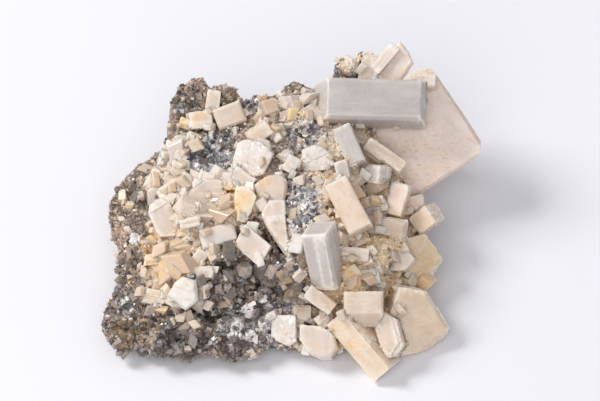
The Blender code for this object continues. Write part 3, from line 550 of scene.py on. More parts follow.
crystalShape = {
    "bevel": 0.13, "smallBevel": 0.09,
    "step": 1.2, "smallStep": 0.75,  # longest edge after the faces are divided
    "grown": 0.2, "jointReach": 1.0,  # every crystal is a little larger than its solid, so that neighbours meet
    "smallSize": 7,
    "cornerChips": 4, "cornerDepth": (0.15, 0.6),
    "chipDepth": 0.28, "chipSize": 1.1,
    "ledgeHeight": 0.07, "ledgeSize": 4.0,
    "waver": 0.045, "waverSize": 1.5,
    "sharpAngle": 24,
    "ledgeRise": (0.12, 0.42),
    "partnerSize": (1.0, 3.0), "partnerReach": 2.2, "partnerLean": 16,
}
# raised growth steps and grown-on partners of a crystal: (steps, partners), where not the usual ones
usualGrowth = (3, 5)
growth = {"great_plate": (0, 1), "long_column": (0, 2), "standing_blade": (1, 3), "central_blade": (1, 3),
          "sloping_prism_a": (1, 2), "sloping_prism_b": (2, 2), "white_bar": (1, 0), "ivory_tablet": (2, 2),
          "corner_block": (4, 2), "outer_cube": (2, 2), "small_cube": (0, 0), "wedge_tablet": (1, 2),
          "sugar_plate": (0, 0), "milky_fan": (5, 4), "grey_twin": (4, 4), "sugar_block": (3, 3), "fang": (3, 4), "rim_tablet": (3, 3)}
# corners that are blunt in the photograph: direction across and up as the viewer sees it, depth in mm
bluntEnds = {"great_plate": [(0.98, -0.1, 1.3), (0.75, -0.65, 0.5), (0.8, 0.55, 0.5)]}
# rougher pieces: how many times the usual waver
roughPieces = {"sugar_plate": 2.5, "sugar_block": 2.5, "ivory_block": 2, "domed_pair": 1.6, "rust_crystal": 4,
               "rim_pair": 1.8, "amber_wedge": 2.4, "brown_chip": 2.5, "faceted_crystal": 1.5}
# iron stains: middle x, y, half width, height in pixels, strength
stains = [(201, 117, 7, 4), (183, 121, 4, 5), (238, 205, 5, 16), (232, 190, 8, 8, 0.6), (267, 183, 8, 5),
          (223, 217, 5, 5), (165, 256, 6, 5), (155, 262, 14, 5, 0.7), (431, 70, 4, 4), (410, 72, 8, 3, 0.8),
          (348, 344, 14, 4, 0.8), (318, 346, 10, 4, 0.6), (283, 332, 5, 6, 0.5), (150, 250, 6, 12, 0.6),
          (172, 246, 20, 6, 0.4), (190, 233, 16, 4, 0.7), (405, 208, 3, 3), (398, 216, 4, 3, 0.7), (351, 275, 7, 7, 0.7),
          (440, 235, 12, 10, 0.4), (330, 300, 4, 14, 0.5),
          (154, 300, 10, 10, 0.35), (242, 113, 6, 5, 0.5), (190, 100, 10, 4, 0.5), (300, 115, 5, 5, 0.6)]


# crystals turn warmer in tone here: partly their own amber tint, partly painted warm bounce light in shade
warmSide = [(385, 235, 62, 72), (385, 310, 70, 50), (160, 262, 40, 34, 0.8), (205, 210, 50, 34, 0.5)]
fleckPlaces = [(424, 156, 34, 26), (405, 132, 18, 12, 0.7), (384, 158, 14, 12, 0.5)]


def inOrder(body):
    # cuts and triangles leave faces in an order of their own, so they are set up anew to make every run the same
    body.verts.index_update()
    places = [vert.co.copy() for vert in body.verts]
    rings = []
    for face in body.faces:
        ring = [vert.index for vert in face.verts]
        first = ring.index(min(ring))
        rings.append(ring[first:] + ring[:first])
    body.clear()
    corners = [body.verts.new(place) for place in places]
    for ring in sorted(rings):
        ends = [corners[index] for index in ring]
        if body.faces.get(ends) is None:
            body.faces.new(ends)
    body.verts.index_update()
    body.normal_update()


def chipCorners(body, rng, count):
    # a few corners broken off, where nothing else of the crystal lies beyond the break
    low, high = crystalShape["cornerDepth"]
    for _ in range(count):
        body.verts.ensure_lookup_table()
        corner = body.verts[rng.randrange(len(body.verts))]
        normal = (corner.normal + Vector((rng.gauss(0, 0.3), rng.gauss(0, 0.3), rng.gauss(0, 0.3)))).normalized()
        point = corner.co - normal * rng.uniform(low, high) * mm
        if any(vert is not corner and (vert.co - point).dot(normal) > 0 for vert in body.verts):
            continue
        cut = bmesh.ops.bisect_plane(body, geom=body.verts[:] + body.edges[:] + body.faces[:], dist=1e-7,
                                     plane_co=point, plane_no=normal, clear_outer=True)
        rim = [item for item in cut["geom_cut"] if isinstance(item, bmesh.types.BMEdge)]
        bmesh.ops.contextual_create(body, geom=rim)
        bmesh.ops.recalc_face_normals(body, faces=body.faces)
        inOrder(body)


def blockMesh(rng, size, slant=0.0, bevel=0.06):
    # one little crystal of six slanted faces with bevelled edges and broken corners
    body = bmesh.new()
    bmesh.ops.create_cube(body, size=1)
    taper = rng.uniform(0.55, 1)
    for vert in body.verts:
        if vert.co.z > 0:
            vert.co.x *= taper
            vert.co.y *= (1 + taper) / 2
        vert.co.x += slant * vert.co.y
        vert.co.z += slant * 0.5 * vert.co.x
    bmesh.ops.scale(body, vec=size, verts=body.verts)
    for _ in range(rng.choice((1, 2, 3))):
        body.verts.ensure_lookup_table()
        corner = body.verts[rng.randrange(len(body.verts))].co.copy()
        across = Vector([part * rng.uniform(0.3, 1.6) for part in corner]).normalized()
        point = corner - across * rng.uniform(0.06, 0.3) * min(size)
        cut = bmesh.ops.bisect_plane(body, geom=body.verts[:] + body.edges[:] + body.faces[:], dist=1e-7,
                                     plane_co=point, plane_no=across, clear_outer=True)
        rim = [item for item in cut["geom_cut"] if isinstance(item, bmesh.types.BMEdge)]
        if len(rim) > 2:
            bmesh.ops.contextual_create(body, geom=rim)
        inOrder(body)
    if bevel:
        bmesh.ops.bevel(body, geom=body.edges[:], offset=bevel * min(size), segments=1, affect="EDGES",
                        profile=0.5, material=-1, clamp_overlap=True)
        inOrder(body)
    return body


def divide(body, longest):
    inOrder(body)
    for _ in range(9):
        long = [edge for edge in body.edges if edge.calc_length() > longest]
        if not long:
            break
        bmesh.ops.subdivide_edges(body, edges=long, cuts=1, use_grid_fill=True)
        inOrder(body)
        bmesh.ops.triangulate(body, faces=[face for face in body.faces if len(face.verts) > 3])
        inOrder(body)


def addLedges(body, rng, count):
    # growth steps: a part of a face, cut off parallel to one of its edges, stands a little proud
    for _ in range(count):
        faces = [face for face in body.faces if face.normal.dot(out) > -0.3]
        face = rng.choices(faces, [item.calc_area() for item in faces])[0]
        edges = sorted(face.edges, key=lambda item: sorted(vert.index for vert in item.verts))
        edge = max(rng.sample(edges, 2), key=lambda item: item.calc_length())
        ends = sorted(edge.verts, key=lambda vert: vert.index)
        along = (ends[1].co - ends[0].co).normalized()
        across = face.normal.cross(along)
        reach = [vert.co.dot(across) for vert in face.verts]
        level = min(reach) + (max(reach) - min(reach)) * rng.uniform(0.12, 0.88)
        normal = face.normal.copy()
        cut = bmesh.ops.bisect_plane(body, geom=[face] + face.edges[:] + face.verts[:], dist=1e-7,
                                     plane_co=across * level, plane_no=across)
        body.verts.index_update()
        parts = [item for item in cut["geom"] if isinstance(item, bmesh.types.BMFace)]
        if len(parts) < 2:
            inOrder(body)
            continue
        parts.sort(key=lambda item: sorted(vert.index for vert in item.verts))
        raised = bmesh.ops.extrude_discrete_faces(body, faces=[rng.choice(parts)])["faces"][0]
        bmesh.ops.translate(body, vec=normal * rng.uniform(*crystalShape["ledgeRise"]) * mm, verts=raised.verts)
        inOrder(body)
    bmesh.ops.recalc_face_normals(body, faces=body.faces)


def crystalTurn(body):
    # the crystal's own axes: its longest edge, and the normal of its largest face
    normal = max(body.faces, key=lambda face: face.calc_area()).normal.copy()
    edge = max(body.edges, key=lambda item: item.calc_length())
    along = (edge.verts[1].co - edge.verts[0].co).normalized()
    along = (along - normal * along.dot(normal)).normalized()
    return Matrix((along, normal.cross(along), normal)).transposed()


def partnerBlocks(body, turn, rng, count):
    # smaller crystals grown on near the rock, turned almost as the large one is
    made = []
    widest = max(edge.calc_length() for edge in body.edges)
    faces = [face for face in body.faces if face.normal.dot(out) > -0.3]
    areas = [face.calc_area() for face in faces]
    lean = crystalShape["partnerLean"]
    for _ in range(count * 4):
        face = rng.choices(faces, areas)[0]
        corners = [vert.co for vert in sorted(face.verts, key=lambda vert: vert.index)]
        point = rng.choice(corners).lerp(rng.choice(corners), rng.random()).lerp(rng.choice(corners), rng.random() * 0.6)
        near = matrixTree.find_nearest(point)[3]
        if near > crystalShape["partnerReach"] * mm or len(made) == count:
            continue
        size = min(rng.uniform(*crystalShape["partnerSize"]) * mm, 0.5 * widest)
        size = Vector((size * rng.uniform(1, 1.5), size * rng.uniform(0.7, 1), size * rng.uniform(0.5, 0.9)))
        block = blockMesh(rng, size, rng.uniform(-0.25, 0.25))
        turned = turn.copy()
        for axis in "XYZ":
            turned = turned @ Matrix.Rotation(math.radians(rng.gauss(0, lean)), 3, axis)
        if rng.random() < 0.3:
            turned = turned @ Matrix.Rotation(math.radians(rng.uniform(0, 180)), 3, "Z")
        bmesh.ops.transform(block, matrix=Matrix.Translation(point) @ turned.to_4x4(), verts=block.verts)
        if min(vert.co.z for vert in block.verts) > 0.4 * mm:
            made.append(block)
        else:
            block.free()
    return made


def crispCopy(node, rng, small):
    # a CAD crystal with broken corners, growth steps, narrow bevels and finely divided faces
    body = bmesh.new()
    body.from_mesh(frame["nodes"][node].data)
    bmesh.ops.remove_doubles(body, verts=body.verts, dist=2e-6)
    bmesh.ops.recalc_face_normals(body, faces=body.faces)
    bmesh.ops.dissolve_limit(body, angle_limit=math.radians(0.7), verts=body.verts, edges=body.edges)
    body.normal_update()
    inOrder(body)
    steps, partners = growth.get(node, usualGrowth)
    turn = crystalTurn(body)
    blocks = partnerBlocks(body, turn, rng, partners)
    for across, rise, depth in bluntEnds.get(node, ()):
        normal = (right * across + up * rise).normalized()
        reach = max(vert.co.dot(normal) for vert in body.verts)
        cut = bmesh.ops.bisect_plane(body, geom=body.verts[:] + body.edges[:] + body.faces[:], dist=1e-7,
                                     plane_co=normal * (reach - depth * mm), plane_no=normal, clear_outer=True)
        rim = [item for item in cut["geom_cut"] if isinstance(item, bmesh.types.BMEdge)]
        bmesh.ops.contextual_create(body, geom=rim)
        bmesh.ops.recalc_face_normals(body, faces=body.faces)
        inOrder(body)
    chipCorners(body, rng, crystalShape["cornerChips"])
    bmesh.ops.bevel(body, geom=body.edges[:], offset=crystalShape["smallBevel" if small else "bevel"] * mm,
                    segments=1, affect="EDGES", profile=0.5, material=-1, clamp_overlap=True)
    body.normal_update()
    inOrder(body)
    addLedges(body, rng, steps)
    inOrder(body)
    bmesh.ops.triangulate(body, faces=body.faces)
    divide(body, crystalShape["smallStep" if small else "step"] * mm)
    for block in blocks:
        part = bpy.data.meshes.new("part")
        block.to_mesh(part)
        block.free()
        body.from_mesh(part)
        bpy.data.meshes.remove(part)
    mesh = bpy.data.meshes.new(node + "_crisp")
    body.to_mesh(mesh)
    body.free()
    return mesh, turn


def spread(mesh, values, rounds):
    # values averaged with those of their neighbours
    pairs = np.zeros(len(mesh.edges) * 2, int)
    mesh.edges.foreach_get("vertices", pairs)
    first, second = pairs[0::2], pairs[1::2]
    for _ in range(rounds):
        total, count = values.copy(), np.ones(len(values))
        np.add.at(total, first, values[second])
        np.add.at(total, second, values[first])
        np.add.at(count, first, 1)
        np.add.at(count, second, 1)
        values = total / (count if values.ndim == 1 else count[:, None])
    return values


def nearOthers(place, node, reach):
    # how far the nearest crystal other than this one is, up to a reach
    found = solidCrystals.find_nearest_range(place, reach)
    return min((item[3] for item in found if crystalOwners[item[2]] != node), default=reach)


def makeCrystal(node, rng):
    low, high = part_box(node)
    small = max(high - low) < crystalShape["smallSize"] * mm
    tint = rng.random()
    mesh, turn = crispCopy(node, rng, small)
    places, normals = vertexArray(mesh), normalArray(mesh)
    edges = edgeShare(mesh)
    soft = spread(mesh, normals, 2)
    soft /= np.linalg.norm(soft, axis=1)[:, None] + 1e-9
    chips = np.clip(noiseAt(places, crystalShape["chipSize"], tint * 9) * 2.4, 0, 1)
    ledges = np.round(noiseAt(places, crystalShape["ledgeSize"], tint * 5) * 2.5) / 2.5
    waver = noiseAt(places, crystalShape["waverSize"], tint * 3) * roughPieces.get(node, 1)
    move = crystalShape["ledgeHeight"] * (ledges - 0.4) + crystalShape["waver"] * waver
    settle = smooth(places[:, 2] / mm, 0.3, 1.2)
    worn = crystalShape["chipDepth"] * chips * edges * (0.6 if small else 1) * settle
    across, down = pixelPlaces(places)
    near = np.array([matrixTree.find_nearest(Vector(place))[3] for place in places]) / mm
    joint = np.array([nearOthers(Vector(place), node, crystalShape["jointReach"] * mm) for place in places]) / mm
    places += normals * (move * settle * mm)[:, None] + soft * ((crystalShape["grown"] - worn) * mm)[:, None]
    places[:, 2] = np.maximum(places[:, 2], 0)
    putVertices(mesh, places)
    mesh.shade_smooth()
    mesh.set_sharp_from_angle(angle=math.radians(crystalShape["sharpAngle"]))
    setMark(mesh, "stain", spots(across, down, stains, 0.7))
    setMark(mesh, "root", np.maximum(1 - smooth(near, 0.4, 1.8), 1 - smooth(joint, 0.35, crystalShape["jointReach"])))
    setMark(mesh, "near", np.where(joint < crystalShape["jointReach"], np.minimum(near, joint), near))
    # painted warm shade, the stronger the nearer the rock
    setMark(mesh, "deepShade", 1 - smooth(near, 0.6, 6))
    setMark(mesh, "warm", spots(across, down, warmSide, 0.6))
    setMark(mesh, "fleck", spots(across, down, fleckPlaces, 0.6))
    setMark(mesh, "edge", np.clip(spread(mesh, edges, 1) * 1.4, 0, 1))
    setMark(mesh, "brim", np.clip(spread(mesh, edges, 5) * 1.6, 0, 1))
    setMark(mesh, "tint", np.full(len(places), tint))
    setWay(mesh, "own", places @ np.array(turn) + tint)
    look = next((entry[0] for entry in ownLooks.values() if node in entry[1]), barites[slotOf[node]])
    piece = newPiece(node + "_crystal", mesh, look)
    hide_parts(node)
    return piece


tints = random.Random(4)
crystalPieces = [makeCrystal(node, tints) for node in crystalNodes]
print("crystals:", sum(len(piece.data.polygons) for piece in crystalPieces), "faces")


def joinedTree(pieces):
    places, faces = [], []
    for piece in pieces:
        start = len(places)
        places += [vertex.co for vertex in piece.data.vertices]
        faces += [[start + index for index in polygon.vertices] for polygon in piece.data.polygons]
    return BVHTree.FromPolygons(places, faces)


wholeTree = joinedTree([matrixPiece] + crystalPieces)


# small crystals that can be told apart in the photograph: x, y, width, height in pixels and turn in degrees
smallCrystals = {
    "ivory_barite": [(397, 127, 6, 6, 5), (174, 256, 13, 9, 20), (180, 318, 7, 11, 80), (298, 274, 11, 9, -30),
                     (342, 315, 8, 10, 20), (378, 219, 7, 14, 5), (166, 168, 8, 13, 0), (148, 243, 7, 8, 30),
                     (185, 244, 16, 11, 12), (360, 269, 9, 8, 15), (262, 163, 9, 7, 40), (330, 156, 7, 8, 70), (177, 256, 16, 11, 10),
                     (392, 255, 14, 13, -12), (308, 117, 8, 13, 10)],
    "cream_barite": [(188, 139.5, 10, 7, 35), (178, 142, 10, 8, -10), (196, 145, 14, 13, 20), (182, 154, 8, 13, -20),
                     (180, 165, 14, 8, -8), (181, 172, 20, 7, 4), (147, 190, 6, 12, 20), (172, 189, 10, 12, 5),
                     (284, 156, 12, 10, 15), (272, 120, 12, 8, 10), (265, 145, 13, 10, -20), (292, 215, 8, 12, 10),
                     (300, 210, 7, 9, -15), (250, 282, 11, 9, 30), (139, 292, 11, 9, 5), (150, 283, 10, 8, 30),
                     (159, 279, 12, 8, -20), (166, 290, 9, 10, 50), (175, 307, 10, 9, 10), (185, 326, 12, 7, 35),
                     (196, 325, 12, 11, 20), (221, 305, 14, 8, 12), (229, 296, 8, 13, -35), (209, 305, 9, 11, -20),
                     (226, 280, 9, 12, 20), (396, 288, 8, 6, 10), (283, 284, 7, 12, 10), (272, 276, 8, 6, 0),
                     (365, 205, 12, 8, 25), (376, 201, 12, 8, -15), (400, 309, 8, 12, 15), (218, 311, 9, 5, 30),
                     (232, 317, 8, 6, -30), (222, 324, 7, 10, 10), (322, 146, 10, 9, 20), (300, 265, 12, 8, -35),
                     (206, 232, 12, 7, 10), (215, 210, 8, 9, 25), (208, 196, 7, 7, 0), (245, 232, 8, 6, -20),
                     (184, 182, 10, 14, 25), (196, 209, 12, 11, 5), (298, 106, 9, 14, -15), (314, 106, 9, 16, 8),
                     (322, 122, 9, 12, 20), (303, 124, 12, 8, 30), (286, 103, 11, 9, 25), (262, 100, 10, 8, -10),
                     (277, 128, 11, 8, 15), (369, 262, 10, 8, 20), (352, 258, 12, 8, -25), (341, 226, 10, 8, 10)],
    "stained_barite": [(291, 114, 13, 14, 8), (173, 272, 20, 12, 15), (159, 311, 14, 8, 5), (165, 281, 8, 8, 30),
                       (130, 205, 12, 6, 15), (188, 232, 20, 6, 8), (152, 240, 8, 12, 40), (425, 281, 16, 13, -30)],
    "milky_barite": [(235.6, 132, 6, 12, 5), (124, 197, 9, 13, 5), (160, 249, 17, 11, 25), (213, 252, 14, 16, -15),
                     (204, 291, 10, 17, 10), (299, 181, 15, 11, 20), (263, 204, 14, 14, 30),
                     (188, 316, 10, 12, 25), (206, 330, 9, 8, -20), (388, 272, 8, 8, 30), (252, 354, 9, 9, 20),
                     (269, 107, 16, 15, 20), (212, 135, 5, 8, 3),
                     (156, 181, 11, 18, -5), (217, 213, 30, 13, 3), (224, 204, 24, 10, -6), (298, 273, 13, 12, 35),
                     (369, 279, 15, 11, 10), (140, 196, 10, 8, 20), (163, 196, 9, 13, 30)],
    "smoky": [(294, 289, 13, 15, 15), (262, 270, 12, 12, 25), (245, 270, 14, 12, 5), (272, 271, 12, 13, -20),
              (284, 277, 11, 12, 10), (229, 251, 12, 13, -15), (200, 281, 12, 10, 40),
              (247, 282, 11, 10, 5), (266, 290, 12, 10, 30), (231, 276, 11, 12, -10), (281, 300, 11, 9, 15)],
}
smallShape = {"tilt": 34, "depthShare": 1.1, "proud": 0.12, "partners": 2}


def addBlock(joined, rng, place, size, turn, tilt, marks):
    block = blockMesh(rng, size, rng.uniform(-0.5, 0.5))
    ways = [vert.co + place for vert in block.verts]
    lean = Matrix.Rotation(math.radians(rng.uniform(-1, 1) * tilt), 3, "X")
    lean @= Matrix.Rotation(math.radians(rng.uniform(-1, 1) * tilt), 3, "Y")
    spin = faceTurn @ lean @ Matrix.Rotation(math.radians(turn), 3, "Z")
    bmesh.ops.transform(block, matrix=Matrix.Translation(place) @ spin.to_4x4(), verts=block.verts)
    for vert in block.verts:
        vert.co.z = max(vert.co.z, 0)
    part = bpy.data.meshes.new("part")
    block.to_mesh(part)
    block.free()
    start = len(joined.verts)
    joined.from_mesh(part)
    joined.verts.ensure_lookup_table()
    own = joined.verts.layers.float_vector["own"]
    for vert, way in zip(joined.verts[start:], ways):
        vert[own] = way
    for name, value in marks.items():
        layer = joined.verts.layers.float[name]
        for vert in joined.verts[start:]:
            vert[layer] = value
    bpy.data.meshes.remove(part)


def makeSmallCrystals():
    rng = random.Random(11)
    pieces = []
    for finish, entries in smallCrystals.items():
        joined = bmesh.new()
        for name in ("tint", "stain", "edge", "deepShade", "warm"):
            joined.verts.layers.float.new(name)
        joined.verts.layers.float_vector.new("own")
        for x, y, wide, high, turn in entries:
            hit = wholeTree.ray_cast(cameraPlace, pixelRay(x, y))[0]
            size = Vector((wide, high, min(wide, high) * smallShape["depthShare"])) * (view["pixel"] * mm)
            warm = spots(np.array([x]), np.array([y]), warmSide, 0.6)[0]
            # each small crystal carries a little painted warm shade (deepShade)
            marks = {"tint": rng.random(), "stain": rng.choice((0, 0, 0.3, 0.6)), "edge": 0.15, "deepShade": 0.4, "warm": warm}
            addBlock(joined, rng, hit + out * size.z * smallShape["proud"], size, turn, smallShape["tilt"], marks)
            for _ in range(rng.randint(0, smallShape["partners"])):
                aside = (right * rng.uniform(-0.6, 0.6) * size.x + up * rng.uniform(-0.6, 0.6) * size.y)
                smaller = size * rng.uniform(0.35, 0.6)
                marks["tint"] = rng.random()
                addBlock(joined, rng, hit + aside, smaller, turn + rng.uniform(-60, 60), 60, marks)
        mesh = bpy.data.meshes.new("small_" + finish)
        joined.to_mesh(mesh)
        joined.free()
        look, slot = (barites[finish], finish) if finish in barites else (looks["greyCube"], "milky_barite")
        pieces.append(newPiece("small_" + finish, mesh, look))
    return pieces


smallPieces = makeSmallCrystals()
print("small crystals:", sum(len(entries) for entries in smallCrystals.values()))


def templates(kind):
    # the few shapes that the many grains are copies of
    rng = random.Random(kind)
    bodies = []
    if kind == "cube":
        bodies.append(bmesh.new())
        bmesh.ops.create_cube(bodies[0], size=1)
    elif kind == "ball":
        bodies.append(bmesh.new())
        bmesh.ops.create_icosphere(bodies[0], subdivisions=1, radius=0.5)
    else:
        for _ in range(7):
            size = Vector((1, rng.uniform(0.5, 1.0), rng.uniform(0.25, 0.8)))
            bodies.append(blockMesh(rng, size, rng.uniform(-0.6, 0.6), 0.05))
    made = []
    for body in bodies:
        body.verts.ensure_lookup_table()
        made.append((np.array([vert.co for vert in body.verts]), [[v.index for v in face.verts] for face in body.faces]))
        body.free()
    return made


def turns(rng, count):
    # random turns as matrices
    quats = rng.normal(size=(count, 4))
    quats /= np.linalg.norm(quats, axis=1)[:, None]
    w, x, y, z = quats.T
    rows = [1 - 2 * (y * y + z * z), 2 * (x * y - z * w), 2 * (x * z + y * w),
            2 * (x * y + z * w), 1 - 2 * (x * x + z * z), 2 * (y * z - x * w),
            2 * (x * z - y * w), 2 * (y * z + x * w), 1 - 2 * (x * x + y * y)]
    return np.stack(rows, axis=1).reshape(-1, 3, 3)


def copies(name, kind, places, sizes, spins, marks, look):
    shapes = templates(kind)
    points, loops, lengths, values, start = [], [], [], {mark: [] for mark in marks}, 0
    for number, (shape, faces) in enumerate(shapes):
        chosen = np.arange(number, len(places), len(shapes))
        spot = np.einsum("nij,nkj->nki", spins[chosen], shape[None] * sizes[chosen][:, None, :])
        points.append((spot + places[chosen][:, None, :]).reshape(-1, 3))
        flat = np.concatenate([np.array(face) for face in faces])
        loops.append((flat[None] + start + (np.arange(len(chosen)) * len(shape))[:, None]).ravel())
        lengths.append(np.tile([len(face) for face in faces], len(chosen)))
        for mark in marks:
            values[mark].append(np.repeat(marks[mark][chosen], len(shape)))
        start += len(chosen) * len(shape)
    points, loops, lengths = (np.concatenate(part) for part in (points, loops, lengths))
    points[:, 2] = np.maximum(points[:, 2], 0)
    mesh = bpy.data.meshes.new(name)
    mesh.vertices.add(len(points))
    mesh.loops.add(len(loops))
    mesh.polygons.add(len(lengths))
    mesh.vertices.foreach_set("co", points.ravel())
    mesh.loops.foreach_set("vertex_index", loops)
    mesh.polygons.foreach_set("loop_start", np.concatenate([[0], np.cumsum(lengths)[:-1]]))
    mesh.update(calc_edges=True)
    mesh.validate()
    mesh.shade_flat()
    for mark in marks:
        setMark(mesh, mark, np.concatenate(values[mark]))
    print(name, len(places), "copies,", len(mesh.polygons), "faces")
    return newPiece(name, mesh, look)


def faceArrays(mesh):
    centres, normals, areas = (np.zeros(len(mesh.polygons) * width) for width in (3, 3, 1))
    mesh.polygons.foreach_get("center", centres)
    mesh.polygons.foreach_get("normal", normals)
    mesh.polygons.foreach_get("area", areas)
    return centres.reshape(-1, 3), normals.reshape(-1, 3), areas


def faceMark(mesh, name):
    # a mark of each face, read at its first corner
    values, corners, starts = np.zeros(len(mesh.vertices)), np.zeros(len(mesh.loops), int), np.zeros(len(mesh.polygons), int)
    mesh.attributes[name].data.foreach_get("value", values)
    mesh.loops.foreach_get("vertex_index", corners)
    mesh.polygons.foreach_get("loop_start", starts)
    return values[corners[starts]]


def surfaceOf(pieces):
    parts = [faceArrays(piece.data) for piece in pieces]
    centres, faceNormals, areas = (np.concatenate(part) for part in zip(*parts))
    across, down = pixelPlaces(centres)
    return {"centres": centres, "normals": faceNormals, "areas": areas, "across": across, "down": down,
            "front": smooth(faceNormals @ np.array(out), 0.0, 0.3)}


# where milky plates stand close together: middle x, y, half width, height in pixels, strength
platePlaces = [(205, 188, 44, 28), (238, 200, 26, 26), (190, 222, 34, 14), (182, 262, 28, 20, 0.8), (262, 205, 14, 22),
               (165, 292, 24, 16, 0.6), (186, 150, 20, 12, 0.5), (350, 200, 34, 20, 0.6), (300, 112, 22, 18, 0.5),
               (345, 240, 14, 20, 0.5), (370, 215, 20, 14, 0.5), (318, 320, 14, 14, 0.5)]
# where the crust is wormy
wormPlaces = [(384, 243, 22, 13), (373, 258, 16, 15), (366, 290, 34, 12), (345, 276, 14, 20), (332, 292, 10, 16),
              (318, 172, 12, 7), (330, 146, 16, 16), (172, 272, 16, 12), (345, 206, 14, 12)]

rock = surfaceOf([matrixPiece])
toCrystal = np.array([solidCrystals.find_nearest(Vector(centre))[3] for centre in rock["centres"]]) / mm
openShare = smooth(toCrystal, 0.25, 0.5) * smooth(rock["centres"][:, 2] / mm, 0.4, 1.0)
shares = {name: spots(rock["across"], rock["down"], patches[name]) * rock["front"] for name in patches}
closeShare = 1 - smooth(toCrystal, 0.6, 2.4)
leftShare = 1 - smooth(rock["across"], 300, 325)
lowShare = smooth(rock["down"], 245, 275) * leftShare * rock["front"]
bareShare = (1 - 0.9 * shares["crust"]) * (1 - 0.9 * shares["shadedPit"])

plateShare = spots(rock["across"], rock["down"], platePlaces)
# a few groups of crystals on the back and sides too
backGrowth = smooth(noiseAt(rock["centres"], 10, 7.0), 0.25, 0.4) * (1 - rock["front"])

grown = surfaceOf(crystalPieces)
toRock = np.concatenate([faceMark(piece.data, "near") for piece in crystalPieces])
rooted = smooth(toRock, 0.05, 0.3) * (1 - smooth(toRock, 0.5, 1.6)) * grown["front"]

scatters = {
    "sulphide_grains": {
        "kind": "cube", "count": 9000, "size": (0.35, 0.9), "stretch": 0.35, "proud": 0.0, "look": "sulphide",
        "slot": "matrix_rock", "seed": 21,
        "weight": bareShare * (1 - rock["front"] * 0.4) * (0.4 + leftShare) + 0.02},
    "galena_cubes": {
        "kind": "cube", "count": 2400, "size": (0.5, 1.3), "stretch": 0.15, "proud": 0.1, "look": "galena",
        "slot": "matrix_rock", "seed": 22,
        "weight": shares["galena"] + 0.2 * lowShare * bareShare + 0.01},
    "grey_cubes": {
        "kind": "block", "count": 800, "size": (1.0, 3.0), "stretch": 0.15, "proud": 0.15, "look": "greyCube",
        "slot": "matrix_rock", "seed": 23,
        "weight": lowShare * bareShare + 0.15 * rock["front"] * leftShare * bareShare},
    "pale_crystals": {
        "kind": "block", "count": 1000, "size": (0.8, 3.0), "stretch": 0.2, "proud": 0.12, "look": "pale",
        "slot": "cream_barite", "seed": 24,
        "weight": shares["crust"] * (1 - 0.8 * shares["shadedPit"]) + 0.05 * rock["front"] * leftShare + 0.5 * backGrowth},
    "milky_plates": {
        "kind": "block", "count": 190, "size": (2.8, 6.6), "stretch": 0.2, "proud": 0.06, "look": "milkyPlate",
        "slot": "milky_barite", "seed": 29, "facing": 0.5,
        "weight": plateShare * rock["front"] * (1 - shares["shadedPit"]) * (1 - 0.7 * shares["galena"])},
    "sugar_grains": {
        "kind": "ball", "count": 5200, "size": (0.35, 0.9), "stretch": 0.35, "proud": 0.05, "look": "sugar",
        "slot": "cream_barite", "seed": 25,
        "weight": shares["crust"] * (0.5 + 1.5 * closeShare) * (1 - 0.8 * shares["shadedPit"]) + 0.3 * backGrowth},
    "crust_worms": {
        "kind": "ball", "count": 1900, "size": (0.5, 1.1), "stretch": 0.25, "long": 2.2, "proud": 0.12, "look": "sugar",
        "slot": "cream_barite", "seed": 30,
        "weight": spots(rock["across"], rock["down"], wormPlaces) * rock["front"]},
    "root_grains": {
        "kind": "ball", "count": 2200, "size": (0.3, 0.8), "stretch": 0.35, "proud": 0.0, "look": "sugar",
        "slot": "cream_barite", "seed": 27, "surface": grown, "weight": rooted},
    "root_chips": {
        "kind": "block", "count": 280, "size": (0.6, 1.7), "stretch": 0.2, "proud": 0.05, "look": "pale",
        "slot": "cream_barite", "seed": 28, "surface": grown, "weight": rooted},
    "frost_grains": {
        "kind": "cube", "count": 4600, "size": (0.3, 0.9), "stretch": 0.3, "proud": 0.2, "look": "frost",
        "slot": "ivory_barite", "seed": 26,
        "weight": shares["frost"] + 0.04 * shares["galena"]},
}


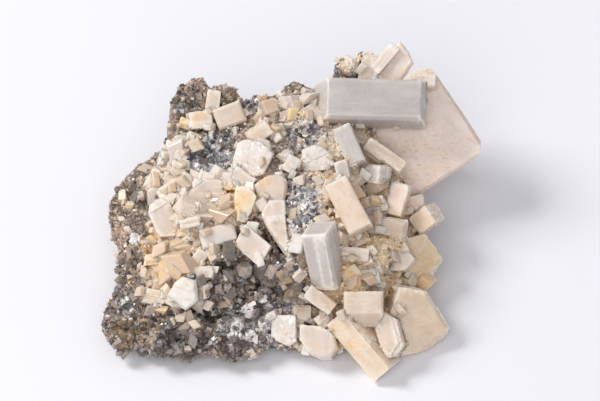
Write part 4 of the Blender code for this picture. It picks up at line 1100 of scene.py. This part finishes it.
def scatter(name, plan):
    rng = np.random.default_rng(plan["seed"])
    surface = plan.get("surface", rock)
    weight = np.clip(plan["weight"], 0, None) * surface["areas"]
    if surface is rock:
        weight = weight * openShare
    chosen = rng.choice(len(weight), size=plan["count"], p=weight / weight.sum())
    low, high = plan["size"]
    base = low + (high - low) * rng.random(plan["count"]) ** 2.2
    stretch = 1 + plan["stretch"] * rng.uniform(-1, 1, (plan["count"], 3))
    sizes = base[:, None] * stretch * mm
    sizes[:, 0] *= plan.get("long", 1)
    places = surface["centres"][chosen] + surface["normals"][chosen] * (base * plan["proud"] * mm)[:, None]
    stained = spots(surface["across"][chosen], surface["down"][chosen], patches["rust"] + stains, 0.8)
    marks = {"tint": rng.random(plan["count"]), "stain": stained * rng.random(plan["count"]) ** 0.5}
    marks["warm"] = spots(surface["across"][chosen], surface["down"][chosen], warmSide, 0.6)
    spins = turns(rng, plan["count"])
    if "facing" in plan:
        # broad sides turned roughly to the viewer
        tilted = [Matrix.Rotation(angle, 3, axis) for angle, axis in zip(rng.normal(0, plan["facing"], 3 * plan["count"]),
                                                                         "XYZ" * plan["count"])]
        turned = [tilted[n] @ tilted[n + 1] @ Matrix.Rotation(rng.uniform(0, math.pi), 3, "Z")
                  for n in range(0, len(tilted), 3)]
        spins = np.array([faceTurn @ turn for turn in turned])
    return copies(name, plan["kind"], places, sizes, spins, marks, looks[plan["look"]])


for scatterName, scatterPlan in scatters.items():
    scatter(scatterName, scatterPlan)

studio = {
    "floorSize": 8, "floorColour": (0.875, 0.875, 0.915), "floorRough": 0.6,
    "key": {"place": (-1.32, 0.42, 1.38), "size": 0.7, "power": 25, "colour": (1.0, 0.985, 0.965)},
    "fill": {"place": (-0.3, -1.5, 1.55), "size": 1.8, "power": 19, "colour": (1.0, 0.99, 0.98)},
    "sky": (0.92, 0.93, 1.0), "skyStrength": 0.42,
}


def makeStudio():
    body = bmesh.new()
    bmesh.ops.create_grid(body, x_segments=1, y_segments=1, size=studio["floorSize"] / 2)
    mesh = bpy.data.meshes.new("floor")
    body.to_mesh(mesh)
    body.free()
    floor = bpy.data.objects.new("floor", mesh)
    bpy.context.scene.collection.objects.link(floor)
    look = Look("paleFloor", base_color=studio["floorColour"], roughness=studio["floorRough"],
                specular_ior_level=0.2)
    mesh.materials.append(look.material)
    for name in ("key", "fill"):
        plan = studio[name]
        light = bpy.data.lights.new(name, "AREA")
        light.size = plan["size"]
        light.energy = plan["power"]
        light.color = plan["colour"]
        lamp = bpy.data.objects.new(name, light)
        bpy.context.scene.collection.objects.link(lamp)
        lamp.location = plan["place"]
        lamp.rotation_euler = (Vector(plan["place"]) - view["centre"]).to_track_quat("Z", "Y").to_euler()
    world = bpy.data.worlds.new("studioSky")
    world.use_nodes = True
    world.node_tree.nodes["Background"].inputs["Color"].default_value = (*studio["sky"], 1)
    world.node_tree.nodes["Background"].inputs["Strength"].default_value = studio["skyStrength"]
    bpy.context.scene.world = world
    bpy.context.scene.view_settings.view_transform = "Standard"
    camera = bpy.data.cameras.new("camera")
    camera.sensor_width = 36
    camera.lens = 36 * view["distance"] / view["frameWidth"]
    camera.clip_end = 50
    eye = bpy.data.objects.new("camera", camera)
    bpy.context.scene.collection.objects.link(eye)
    eye.matrix_world = Matrix.Translation(cameraPlace) @ faceTurn.to_4x4()
    bpy.context.scene.camera = eye


makeStudio()
print("studio made")
